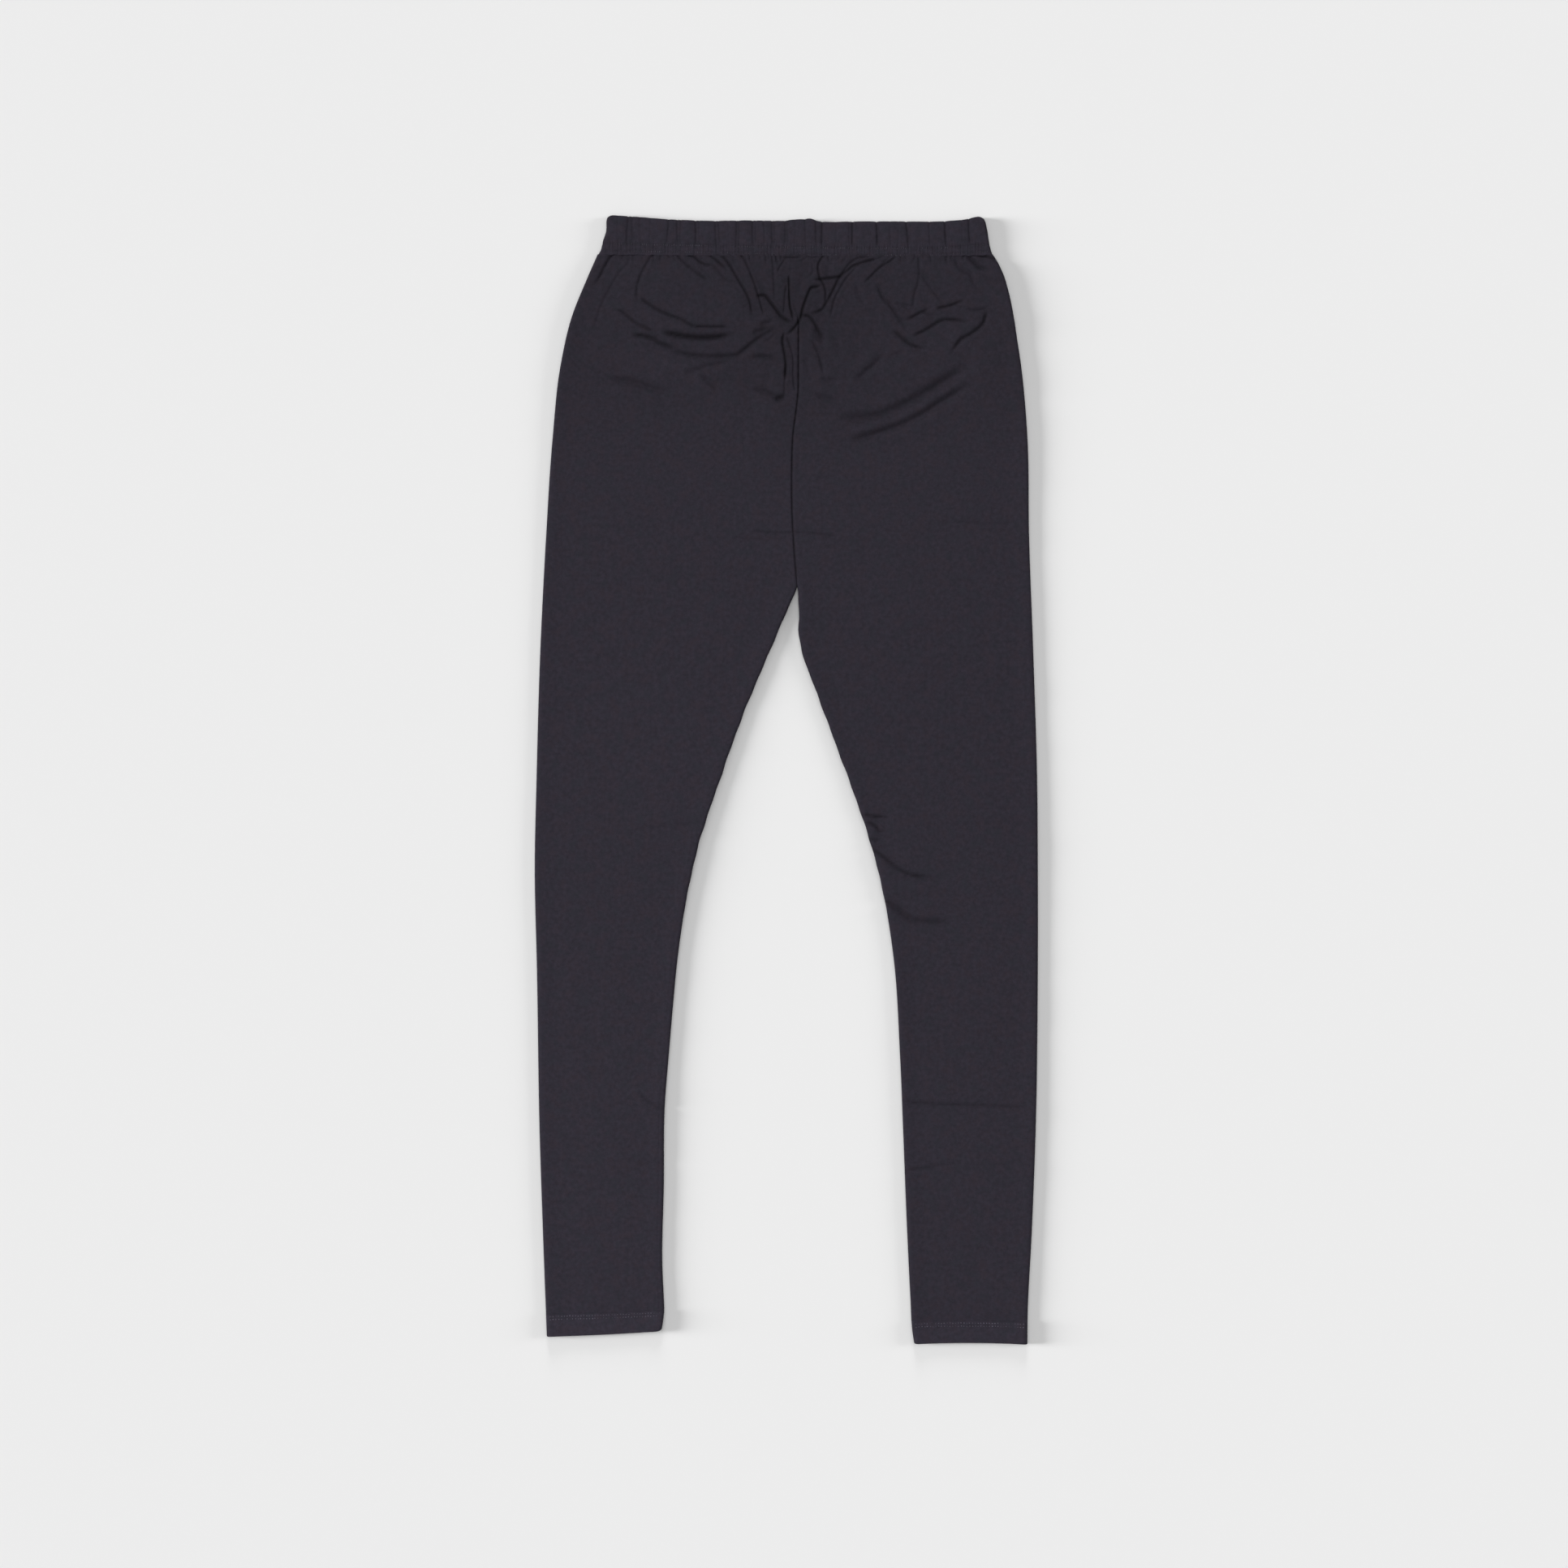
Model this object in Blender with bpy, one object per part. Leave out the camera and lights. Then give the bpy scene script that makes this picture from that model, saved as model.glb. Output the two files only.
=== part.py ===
# Churidar pants in jersey, laid flat on their back on the surface z = 0.
# The waist points to +Y, the hems to -Y, and the front faces up.
# Each leg is one panel wrapped round the leg: open at the centre seam above the crotch
# and a closed flat tube below it. A gathered casing makes the waistband.

import bmesh
import bpy
import numpy as np

MM = 0.001  # sizes here are in millimetres, Blender's are in metres

# Cloth
CLOTH = 1.2  # wall of one layer of jersey
HEM_CLOTH = 1.8  # wall where the hem is turned up double
BAND_CLOTH = 2.4  # wall of the casing with its elastic
LAYER_GAP = 0.6  # between the front and the back layer where they lie flat
LEAST_GAP = 0.3  # left inside under the deepest crease
SEAM_GAP = 0.3  # between neighbouring pieces

# Rounded side folds
FOLD_HALF = 3.0  # half width of a leg's fold at mid wall
FOLD_LIFT = 1.2  # rise of the front layer towards a fold
FOLD_REACH = 9.0  # distance over which it rises
BAND_FOLD_HALF = 2.0  # half width of the band's end fold at mid wall
BAND_RISE = 3.2  # from the band's back layer to its front layer, mid wall to mid wall

# Places along the garment
BAND_BOTTOM_Y = 486.5
LEG_TOP_Y = BAND_BOTTOM_Y - SEAM_GAP
CROTCH_Y = 177.0
SEAM_OPENS = 14.0  # length above the crotch over which the inner fold parts into two edges
HEM_DEPTH = 21.0
HEM_SLANT_Y = -440.0  # below this the rows turn to run along the hem

# Columns: y, x of the centre seam
CENTRE_SEAM = [
    (177, 9.6), (198, 8.5), (252, 5.5), (322, 6.2), (365, 11.5), (420, 11.5), (435, 6.2), (461, 4.0), (487, 4.0),
]

# Columns: y, lift of the front layer above lying flat
LIFT = [
    (-525, 0.1), (-300, 0.3), (-140, 0.4), (-80, 0.8), (-20, 0.4), (177, 0.3), (250, 0.5), (310, 0.9),
    (360, 1.6), (400, 2.4), (430, 3.0), (455, 3.4), (474, 3.0), (487, 2.0),
]
LIFT_LOSS = 0.5  # share of the lift lost at the outer fold
SEAM_DIP = 0.7  # how far the front sinks along the centre seam
SEAM_DIP_HALF = 2.0

# Each leg: side is the direction of its outer fold, and the tables hold y, x of its outline
RIGHT_LEG = {
    "side": -1,
    "outer": [
        (-517, -222.3), (-420, -226.0), (-330, -229.0), (-180, -231.5), (-80, -233.6), (0, -232.0), (122, -228.4),
        (228, -223.0), (318, -217.0), (386, -209.5), (431, -199.0), (465, -185.4), (487, -175.6),
    ],
    "inner": [
        (-517, -118.5), (-508, -115.2), (-450, -115.2), (-300, -113.0), (-255, -109.2), (-165, -101.0),
        (-104, -91.6), (-59, -81.3), (0, -61.9), (62, -39.8), (122, -14.9), (152, -2.1), (177, 9.6),
    ],
    "hem_outer_y": -517.0,
    "hem_inner_y": -511.5,
    # Gathers under the band from the centre outwards: x, depth, reach down the leg
    "gathers": [
        (-9, 0.9, 18), (-21, 1.3, 30), (-35, 1.8, 26), (-50, 1.5, 22), (-64, 1.7, 24), (-78, 1.5, 28),
        (-93, 1.2, 20), (-107, 0.9, 16), (-122, 1.0, 18), (-138, 1.3, 30), (-153, 1.0, 24), (-167, 1.6, 28),
    ],
}
LEFT_LEG = {
    "side": 1,
    "outer": [
        (-525, 224.0), (-420, 228.0), (-330, 231.5), (-180, 233.6), (-80, 233.6), (0, 233.0), (122, 229.3),
        (228, 225.5), (318, 224.0), (386, 217.5), (431, 210.5), (465, 202.5), (487, 192.3),
    ],
    "inner": [
        (-525, 117.5), (-450, 113.6), (-350, 109.8), (-255, 105.7), (-165, 99.8), (-104, 90.0), (-59, 78.6),
        (31, 47.0), (92, 24.3), (122, 14.5), (152, 11.2), (177, 9.6),
    ],
    "hem_outer_y": -524.2,
    "hem_inner_y": -523.6,
    "gathers": [
        (14, 1.0, 16), (30, 1.8, 26), (45, 1.3, 20), (61, 1.7, 24), (75, 1.5, 30), (92, 1.4, 22),
        (106, 1.0, 18), (120, 1.1, 26), (135, 0.9, 18), (149, 1.3, 20), (161, 1.3, 22), (174, 1.6, 20),
    ],
}

# Largest creases of the front, worn in at the hips, crotch, knees and calf.
# Columns: start x, y, a point on the way x, y, end x, y, half width, depth
CREASES = [
    (-58, 486, -44, 461, -32, 432, 6.0, 1.8),
    (-25, 450, -12, 440, 3, 423, 5.5, 1.8),
    (0, 414, 13, 428, 24, 455, 5.5, 1.8),
    (24, 434, 44, 456, 68, 485, 6.5, 2.2),
    (14, 431, 27, 422, 35, 407, 5.5, 1.5),
    (-3, 414, 0, 394, -1, 372, 5.0, 1.0),
    (-157, 474, -173, 439, -185, 397, 6.0, 1.2),
    (-132, 447, -92, 426, -51, 421, 6.0, 1.2),
    (-127, 412, -86, 411, -46, 416, 6.0, 2.0),
    (-113, 405, -55, 391, -14, 418, 6.0, 1.2),
    (-160, 373, -130, 364, -97, 357, 8.0, 0.8),
    (85, 461, 103, 420, 124, 401, 6.0, 1.2),
    (116, 416, 140, 426, 165, 427, 5.0, 1.4),
    (128, 467, 138, 450, 154, 441, 6.0, 0.8),
    (187, 432, 172, 412, 148, 396, 6.0, 1.2),
    (163, 383, 112, 347, 49, 336, 9.0, 1.4),
    (160, 364, 112, 333, 62, 318, 7.0, 1.4),
    (-27, 230, 4, 231, 33, 228, 7.0, 0.6),
    (-137, -43, -109, -43, -81, -39, 8.0, 0.8),
    (82, -62, 104, -83, 142, -90, 9.0, 1.8),
    (97, -116, 118, -131, 146, -133, 8.0, 1.2),
    (110, -298, 160, -301, 216, -303, 7.0, 1.2),
]
CREASE_STEPS = 33  # points along a crease
SHOULDER_WIDTH = 2.3  # half width of the raised shoulders, in trough half widths
SHOULDER_HEIGHT = 0.7  # their height, as a share of the trough's depth

# Rows down a leg: to y, number of rows, columns across its front
TUBE_COLUMNS = 6
ROW_ZONES = [
    (343, 17, 24), (191, 9, 12), (CROTCH_Y, 3, 12), (145, 2, TUBE_COLUMNS), (5, 5, TUBE_COLUMNS),
    (-34, 3, TUBE_COLUMNS), (-146, 11, TUBE_COLUMNS), (-265, 3, TUBE_COLUMNS), (-320, 4, TUBE_COLUMNS),
    (-470, 4, TUBE_COLUMNS),
]
TOP_COLUMNS = 24  # two for each gather
CENTRE_CROWDING = 1.3  # power that sets the columns closer together near the centre
# Columns: height above the hem, wall, share of the wall's half left at the rim
HEM_ROWS = [
    (HEM_DEPTH + 1.5, CLOTH, 1.0), (HEM_DEPTH, HEM_CLOTH, 1.0), (HEM_DEPTH / 2, HEM_CLOTH, 1.0),
    (0.9, HEM_CLOTH, 1.0), (0.0, HEM_CLOTH, 0.5),
]

# Waistband. Columns: x, y of its top edge
BAND_TOP = [
    (-176, 524.2), (-160, 524.2), (-140, 523.3), (-112, 521.0), (-76, 519.5), (-10, 520.0), (13, 521.8), (32, 518.8),
    (150, 519.3), (168, 521.0), (184, 523.6), (192, 523.6),
]
# Columns: share of the band's height, x of its left end, x of its right end
BAND_ENDS = [(0.0, -173.6, 190.2), (0.35, -172.0, 188.6), (0.7, -168.9, 186.6), (0.9, -167.7, 184.0), (1.0, -166.0, 181.5)]
# Section through the casing. Columns: share of the band's height, share of half the wall.
# The dip at a quarter of the height is the row of stitches that holds the elastic.
BAND_PROFILE = [
    (0.00, 0.65), (0.05, 1.00), (0.21, 1.00), (0.27, 0.82), (0.33, 1.00), (0.60, 1.00), (0.88, 0.95),
    (0.97, 0.62), (1.00, 0.00), (0.97, -0.62), (0.88, -1.00), (0.05, -1.00), (0.00, -0.65),
]
# Gathers of the casing. Columns: x, depth
BAND_FRONT_GATHERS = [
    (-156, 0.5), (-147, 0.8), (-139, 0.5), (-126, 0.5), (-110, 0.5), (-100, 0.6), (-84, 0.8), (-64, 0.6),
    (-53, 0.5), (-45, 0.7), (-31, 0.9), (-20, 0.6), (-12, 0.7), (-1, 0.5), (9, 0.5), (17, 0.7), (26, 0.6),
    (34, 1.0), (46, 0.5), (61, 0.8), (84, 1.1), (97, 0.5), (112, 0.9), (133, 0.6), (147, 0.9), (162, 0.5),
    (171, 0.9),
]
BAND_BACK_GATHERS = [
    (-159, 0.6), (-147, 0.5), (-135, 0.8), (-121, 0.5), (-112, 0.7), (-98, 0.6), (-89, 0.5), (-73, 0.8),
    (-60, 0.6), (-49, 0.5), (-40, 0.8), (-24, 0.6), (-13, 0.7), (2, 0.8), (13, 0.5), (25, 0.7), (41, 0.8),
    (52, 0.5), (66, 0.6), (77, 0.8), (93, 0.5), (104, 0.7), (119, 0.6), (131, 0.8), (142, 0.5), (157, 0.7),
    (169, 0.6),
]
BAND_FOLD_STEPS = 4
BAND_RIPPLE = 0.7  # how far a gather draws the band's top edge down, for each mm of its depth

# Colours, linear
JERSEY = (0.0295, 0.0262, 0.0356, 1.0)
CASING = (0.0275, 0.0245, 0.0330, 1.0)


def smooth(at, table):
    """Cubic through a table of two columns whose first column rises."""
    knots, values = np.array(table, dtype=float).T
    slopes = np.gradient(values, knots)
    i = np.clip(np.searchsorted(knots, at) - 1, 0, len(knots) - 2)
    span = knots[i + 1] - knots[i]
    t = np.clip((at - knots[i]) / span, 0.0, 1.0)
    start = (1 + 2 * t) * (1 - t) ** 2 * values[i] + t * (1 - t) ** 2 * span * slopes[i]
    end = t ** 2 * (3 - 2 * t) * values[i + 1] + t ** 2 * (t - 1) * span * slopes[i + 1]
    return start + end


def crease_height(x, y):
    """Troughs with raised shoulders along the creases, fading out at both ends of each."""
    height = np.zeros_like(x)
    t = np.linspace(0.0, 1.0, CREASE_STEPS)
    for x0, y0, x1, y1, x2, y2, half_width, depth in CREASES:
        bend_x = 2 * x1 - (x0 + x2) / 2
        bend_y = 2 * y1 - (y0 + y2) / 2
        line_x = (1 - t) ** 2 * x0 + 2 * t * (1 - t) * bend_x + t ** 2 * x2
        line_y = (1 - t) ** 2 * y0 + 2 * t * (1 - t) * bend_y + t ** 2 * y2
        apart = np.hypot(x[..., None] - line_x, y[..., None] - line_y)
        nearest = apart.argmin(axis=-1)
        away = apart.min(axis=-1) / half_width
        strength = np.sqrt(4 * t[nearest] * (1 - t[nearest]))
        shoulder = SHOULDER_HEIGHT * np.exp(-(away / SHOULDER_WIDTH) ** 2)
        trough = (1 + SHOULDER_HEIGHT) * np.exp(-away ** 2)
        height += depth * strength * (shoulder - trough)
    return height


def leg_columns(count):
    """Parameters round a leg: -0.5 to 0 inner fold, 0 to 1 front, 1 to 2 outer fold, 2 to 3 back, 3 to 3.5 inner fold."""
    front = [i / count for i in range(count + 1)]
    return [-0.5, -0.25] + front + [1.25, 1.5, 1.75, 2.0, 2.5, 3.0, 3.25, 3.5]


def leg_rows(leg):
    """Rows from the waist to the hem: y, columns across the front, wall, share of the wall's half at the rim."""
    rows = [(LEG_TOP_Y, TOP_COLUMNS, CLOTH, 1.0)]
    for to_y, count, columns in ROW_ZONES:
        for y in np.linspace(rows[-1][0], to_y, count + 1)[1:]:
            rows.append((y, columns, CLOTH, 1.0))
    for above, wall, rim in HEM_ROWS:
        rows.append((leg["hem_outer_y"] + above, TUBE_COLUMNS, wall, rim))
    return rows


def leg_section(leg, y, columns, wall, rim, facing):
    """Points round one row of a leg on its outer surface (facing 1) or its inner surface (facing -1)."""
    side = leg["side"]
    u = np.array(columns)
    opened = np.clip((y - CROTCH_Y) / SEAM_OPENS, 0.0, 1.0)
    edge_table = CENTRE_SEAM if y > CROTCH_Y else leg["inner"]
    inner_x = smooth(y, edge_table) + side * SEAM_GAP / 2
    outer_x = smooth(y, leg["outer"])
    inner_centre = inner_x + side * (FOLD_HALF + wall / 2)
    outer_centre = outer_x - side * (FOLD_HALF + wall / 2)
    offset = facing * rim * wall / 2
    low = wall / 2

    # Across the front the columns leave the waist at the gathers and even out below them
    front = np.clip(u, 0.0, 1.0)
    even = front ** CENTRE_CROWDING
    valleys = [(g[0] - inner_centre) / (outer_centre - inner_centre) for g in leg["gathers"]]
    ridges = [0.0] + [(a + b) / 2 for a, b in zip(valleys[:-1], valleys[1:])] + [1.0]
    stations = np.linspace(0.0, 1.0, TOP_COLUMNS + 1)
    gathered = np.interp(front, stations, np.sort(ridges + valleys))
    below_band = LEG_TOP_Y - y
    blend = np.exp(-below_band / 40.0)
    across = even + (gathered - even) * blend
    x = inner_centre + (outer_centre - inner_centre) * across

    # At the centre seam the front runs on to its edge, and so does the back
    past_front = np.where(u < 0, -2 * u, 0.0)
    past_back = np.where(u > 3, 2 * (u - 3), 0.0)
    flat_x = x - side * (FOLD_HALF + wall / 2) * past_front
    depths = np.array([g[1] for g in leg["gathers"]])
    reaches = np.array([g[2] for g in leg["gathers"]])
    number = np.minimum((front * len(depths)).astype(int), len(depths) - 1)
    gather = depths[number] * np.sin(np.pi * front * len(depths)) ** 2 * np.exp(-below_band / reaches[number])

    def front_height(at_x, gather_depth, share):
        row_y = np.full_like(at_x, y)
        rise = smooth(y, LIFT) * (1 - LIFT_LOSS * share ** 4)
        fold = FOLD_LIFT * np.exp(-((at_x - outer_centre) / FOLD_REACH) ** 2)
        fold += FOLD_LIFT * (1 - opened) * np.exp(-((at_x - inner_centre) / FOLD_REACH) ** 2)
        dip = SEAM_DIP * opened * np.exp(-((at_x - inner_x) / SEAM_DIP_HALF) ** 2)
        height = low + wall + LAYER_GAP + rise + fold - dip - gather_depth + crease_height(at_x, row_y)
        return np.maximum(height, low + wall + LEAST_GAP)

    top = front_height(flat_x, gather, across)
    outer_half = (front_height(np.array([outer_centre]), 0.0, 1.0)[0] - low) / 2
    inner_half = (front_height(np.array([inner_centre]), 0.0, 0.0)[0] - low) / 2

    # Front, outer fold and back
    z = top + offset
    turn = np.pi / 2 - np.pi * (u - 1)
    on_fold = (u > 1) & (u < 2)
    x = np.where(on_fold, outer_centre + side * (FOLD_HALF + offset) * np.cos(turn), x)
    z = np.where(on_fold, low + outer_half + (outer_half + offset) * np.sin(turn), z)
    on_back = u >= 2
    back_share = np.clip(3 - u, 0.0, 1.0)
    x = np.where(on_back, inner_centre + (outer_centre - inner_centre) * back_share, x)
    z = np.where(on_back, low - offset, z)

    # Inner fold of the tube, which flattens into the two seam edges above the crotch
    past = past_front + past_back
    turn = np.pi / 2 * past
    up = np.where(u < 0, 1.0, -1.0)
    fold_x = inner_centre - side * (FOLD_HALF + offset) * np.sin(turn)
    fold_z = low + inner_half + up * (inner_half + offset) * np.cos(turn)
    edge_x = inner_centre - side * (FOLD_HALF + wall / 2) * past
    edge_z = np.where(u < 0, top + offset, low - offset)
    on_inner = past > 0
    x = np.where(on_inner, fold_x + (edge_x - fold_x) * opened, x)
    z = np.where(on_inner, fold_z + (edge_z - fold_z) * opened, z)

    # The lowest rows turn to run along the slanted hem
    hem_nominal = leg["hem_outer_y"]
    share = np.clip((x - inner_x) / (outer_x - inner_x), 0.0, 1.0)
    hem_y = leg["hem_inner_y"] + (leg["hem_outer_y"] - leg["hem_inner_y"]) * share
    turned = HEM_SLANT_Y + (y - HEM_SLANT_Y) * (hem_y - HEM_SLANT_Y) / (hem_nominal - HEM_SLANT_Y)
    row_y = np.where(y < HEM_SLANT_Y, turned, y)
    return np.column_stack([x, row_y, z])


def leg_mesh(leg):
    """Outer and inner surface of a leg, its rims at the waist and the hem, and its seam edges."""
    points = []
    faces = []
    rows = leg_rows(leg)
    columns = [leg_columns(row[1]) for row in rows]
    tube = [row[0] <= CROTCH_Y for row in rows]
    surfaces = []
    for facing in (1, -1):
        grid = []
        for (y, _, wall, rim), u, closed in zip(rows, columns, tube):
            ring = leg_section(leg, y, u, wall, rim, facing)
            if closed:
                ring = ring[:-1]
            ids = list(range(len(points), len(points) + len(ring)))
            points.extend(ring)
            if closed:
                ids.append(ids[0])
            grid.append(ids)
        for r in range(len(grid) - 1):
            for j in range(len(grid[r + 1]) - 1):
                first = columns[r].index(columns[r + 1][j])
                last = columns[r].index(columns[r + 1][j + 1])
                faces.append(grid[r][first:last + 1] + [grid[r + 1][j + 1], grid[r + 1][j]])
        surfaces.append(grid)

    outside, inside = surfaces
    for row in (0, -1):
        for j in range(len(outside[row]) - 1):
            faces.append([outside[row][j], outside[row][j + 1], inside[row][j + 1], inside[row][j]])
    for r in range(tube.index(True)):
        for edge in (0, -1):
            faces.append([outside[r][edge], outside[r + 1][edge], inside[r + 1][edge], inside[r][edge]])
    return points, faces


def band_stations():
    """Stations round the band: share of the way across, angle round the fold, depth of the gather."""
    left = BAND_ENDS[0][1] + BAND_FOLD_HALF + BAND_CLOTH / 2
    right = BAND_ENDS[0][2] - BAND_FOLD_HALF - BAND_CLOTH / 2
    stations = []

    def layer(gathers, angle):
        valleys = [(x - left) / (right - left) for x, _ in gathers]
        ridges = [0.0] + [(a + b) / 2 for a, b in zip(valleys[:-1], valleys[1:])] + [1.0]
        row = []
        for i, (_, depth) in enumerate(gathers):
            row.append((ridges[i], angle, 0.0))
            row.append((valleys[i], angle, depth))
        row.append((1.0, angle, 0.0))
        return row

    fold = [np.pi * i / BAND_FOLD_STEPS for i in range(1, BAND_FOLD_STEPS)]
    stations += layer(BAND_FRONT_GATHERS, np.pi / 2)
    stations += [(1.0, np.pi / 2 - turn, 0.0) for turn in fold]
    stations += reversed(layer(BAND_BACK_GATHERS, -np.pi / 2))
    stations += [(0.0, -np.pi / 2 - turn, 0.0) for turn in fold]
    return np.array(stations)


def band_mesh():
    """The casing as one ring: its section carried round the flattened waist."""
    across, angle, gather = band_stations().T
    heights, left_ends, right_ends = zip(*BAND_ENDS)
    low = BAND_CLOTH / 2
    rise = BAND_RISE / 2
    points = []
    for up, out in BAND_PROFILE:
        left = np.interp(up, heights, left_ends) + BAND_FOLD_HALF + BAND_CLOTH / 2
        right = np.interp(up, heights, right_ends) - BAND_FOLD_HALF - BAND_CLOTH / 2
        dent = gather * max(out, 0.0) * (0.55 + 0.45 * np.sin(np.pi * up))
        offset = out * BAND_CLOTH / 2 - dent
        x = left + (right - left) * across + (BAND_FOLD_HALF + offset) * np.cos(angle)
        z = low + rise + (rise + offset) * np.sin(angle)
        top_y = smooth(x, BAND_TOP) - BAND_RIPPLE * gather * up ** 4
        y = BAND_BOTTOM_Y + (top_y - BAND_BOTTOM_Y) * up
        points.extend(np.column_stack([x, y, z]))
    count = len(across)
    faces = []
    for i in range(len(BAND_PROFILE)):
        here = i * count
        after = (i + 1) % len(BAND_PROFILE) * count
        for j in range(count):
            k = (j + 1) % count
            faces.append([here + j, here + k, after + k, after + j])
    return points, faces


def cloth_material(name, colour, roughness):
    material = bpy.data.materials.new(name)
    material.use_nodes = True
    shader = material.node_tree.nodes["Principled BSDF"]
    shader.inputs["Base Color"].default_value = colour
    shader.inputs["Roughness"].default_value = roughness
    shader.inputs["Metallic"].default_value = 0.0
    material.diffuse_color = colour
    return material


def add_piece(collection, name, mesh_data, material):
    """One closed body from points in millimetres, with its faces turned outwards."""
    points, faces = mesh_data
    mesh = bpy.data.meshes.new(name)
    mesh.from_pydata([tuple(p * MM) for p in np.array(points)], [], faces)
    work = bmesh.new()
    work.from_mesh(mesh)
    bmesh.ops.recalc_face_normals(work, faces=work.faces)
    work.to_mesh(mesh)
    work.free()
    mesh.shade_smooth()
    mesh.set_sharp_from_angle(angle=np.radians(60))
    mesh.materials.append(material)
    piece = bpy.data.objects.new(name, mesh)
    collection.objects.link(piece)
    return piece


def main():
    for old in list(bpy.data.objects):
        bpy.data.objects.remove(old, do_unlink=True)
    collection = bpy.data.collections.new("churidar_pants")
    bpy.context.scene.collection.children.link(collection)
    add_piece(collection, "right_leg", leg_mesh(RIGHT_LEG), cloth_material("right_leg_jersey", JERSEY, 0.85))
    add_piece(collection, "left_leg", leg_mesh(LEFT_LEG), cloth_material("left_leg_jersey", JERSEY, 0.85))
    add_piece(collection, "waistband", band_mesh(), cloth_material("waistband_jersey", CASING, 0.88))


main()
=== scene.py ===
import math

import bpy
import mathutils
import numpy as np
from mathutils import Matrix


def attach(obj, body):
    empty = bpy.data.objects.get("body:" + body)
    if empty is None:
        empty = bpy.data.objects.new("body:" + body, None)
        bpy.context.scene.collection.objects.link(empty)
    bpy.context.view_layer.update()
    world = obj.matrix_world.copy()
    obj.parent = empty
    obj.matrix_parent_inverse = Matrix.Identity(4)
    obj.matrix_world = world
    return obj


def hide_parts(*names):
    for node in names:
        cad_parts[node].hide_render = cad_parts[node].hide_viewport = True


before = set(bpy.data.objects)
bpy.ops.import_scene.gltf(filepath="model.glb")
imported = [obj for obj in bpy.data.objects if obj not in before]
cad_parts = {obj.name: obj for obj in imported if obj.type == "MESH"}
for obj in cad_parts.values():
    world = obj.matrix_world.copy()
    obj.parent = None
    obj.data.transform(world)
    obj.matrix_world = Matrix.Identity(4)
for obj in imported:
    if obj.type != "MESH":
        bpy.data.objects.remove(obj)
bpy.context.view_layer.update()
mm = 0.001

# Cloth and its side folds, the same on both legs
cloth = {
    "wall": 0.9,            # single jersey, one layer
    "hemWall": 1.7,         # jersey turned up double
    "layerGap": 0.9,        # air between front and back where they lie flat
    "leastGap": 0.35,       # air left under the deepest crease
    "gapSoftness": 0.22,    # how gently a deep crease comes to rest on that
    "seamOverlap": 0.2,     # the two legs' edges press into each other at the centre seam
    "foldHalf": 2.7,        # half width of the rounded side fold
    "foldLength": 8.21,     # of the cloth round it
    "foldLift": 1.1,        # how far the front rises towards a fold
    "foldReach": 9.0,
    "liftFalls": 0.5,       # share of the front's lift that is lost at the outer fold
    "bandBottom": 486.5,
    "topTuck": 1.9,         # the leg's top edge reaches this far up into the band
    "crotch": 181.0,
    "seamOpens": 14.0,      # the inner fold parts into two seam edges over this length
    "crowding": 1.25,       # sets the columns closer together near the centre seam
    "crowdingStarts": (150, 220),
    "waver": 0.25,          # of the inner fold, where the cloth was stretched along the inseam
    "waverWaves": [(1.0, 3.9, 0), (0.6, 6.7, 1)],   # share, length over 2 pi, start
    "waverStarts": (-150, -60),
    "quiet": 0.35,          # share of the soft waves on the legs, which were smoothed out most
    "quietEnds": (250, 400),
    "hemDepth": 21.0,
    "hemRows": [2.1, 4.9],  # two rows of stitching, below the top of the turned-up hem
    "hemStep": 1.1,         # the wall thickens over this length on each side of the hem's top
    "hemTurn": -440.0,      # rows below this turn to run along the hem
    "grooveDepth": 0.22, "grooveHalf": 0.6,     # of the grooves that the stitching pulls
    "rimLength": 0.8, "rimLeast": 0.08,         # the wall thins to its edge over this length
    "cornerFill": 0.98,     # share of a quarter circle by which the hem's corner is rounded
}

# The centre seam, and the inseam beside the inner fold
seam = {
    "dip": 1.3, "dipHalf": 0.9,     # the front sinks this far along the seam
    "pucker": 0.22, "puckerWave": (1.35, 1.2, 7.0),
    "shoulder": 0.15, "shoulderAt": 3.6, "shoulderHalf": 2.2,
    "hidden": 0.9, "hiddenFrom": (424, 434),    # the crumple below the band hides most of it
    "inseamDip": 0.3, "inseamPast": 0.3, "inseamHalf": 0.8,
}

# How a crease is drawn, its lengths in its own half widths
creaseShape = {
    "shoulderWidth": 2.6,   # raised shoulders beside it
    "shoulderHeight": 0.3,  # their height as a share of its depth
    "sharpness": 1.8,       # of its trough, where 2 is a bell
    "reach": 5.72,          # it is left out further away than this
    "fadeIn": (4.5, 0.28),  # length over which it starts, and at most this share of the whole
    "fadeOut": (8.0, 0.42), # length over which it ends, likewise
    "hiddenDepth": 0.4,     # share of its depth that it hides where it closes
    "fromLight": (0.64, -0.77),
    "troughShift": 0.45,    # its shaded wall is what shows, so its trough lies this much away from the light
}

# Faint unevenness of cloth smoothed out by hand: height, wavelength, direction and start in radians
longWaves = [(0.16, 61, 0.4, 0.3), (0.14, 47, 1.9, 1.1), (0.10, 33, 2.7, 2.0), (0.08, 26, 1.2, 0.7),
             (0.05, 17, 0.1, 2.6)]

# y and x of the centre-front seam
centreSeam = [
    (181, 10.1), (190, 9.4), (198, 8.8), (225, 6.9), (252, 5.6), (290, 5.4), (322, 6.6), (345, 9.6),
    (360, 11.2), (380, 11.5), (400, 11.5), (415, 11.5), (425, 11.4), (432, 10.4), (442, 6.6), (455, 4.6),
    (470, 4.0), (490, 4.0),
]

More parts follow.
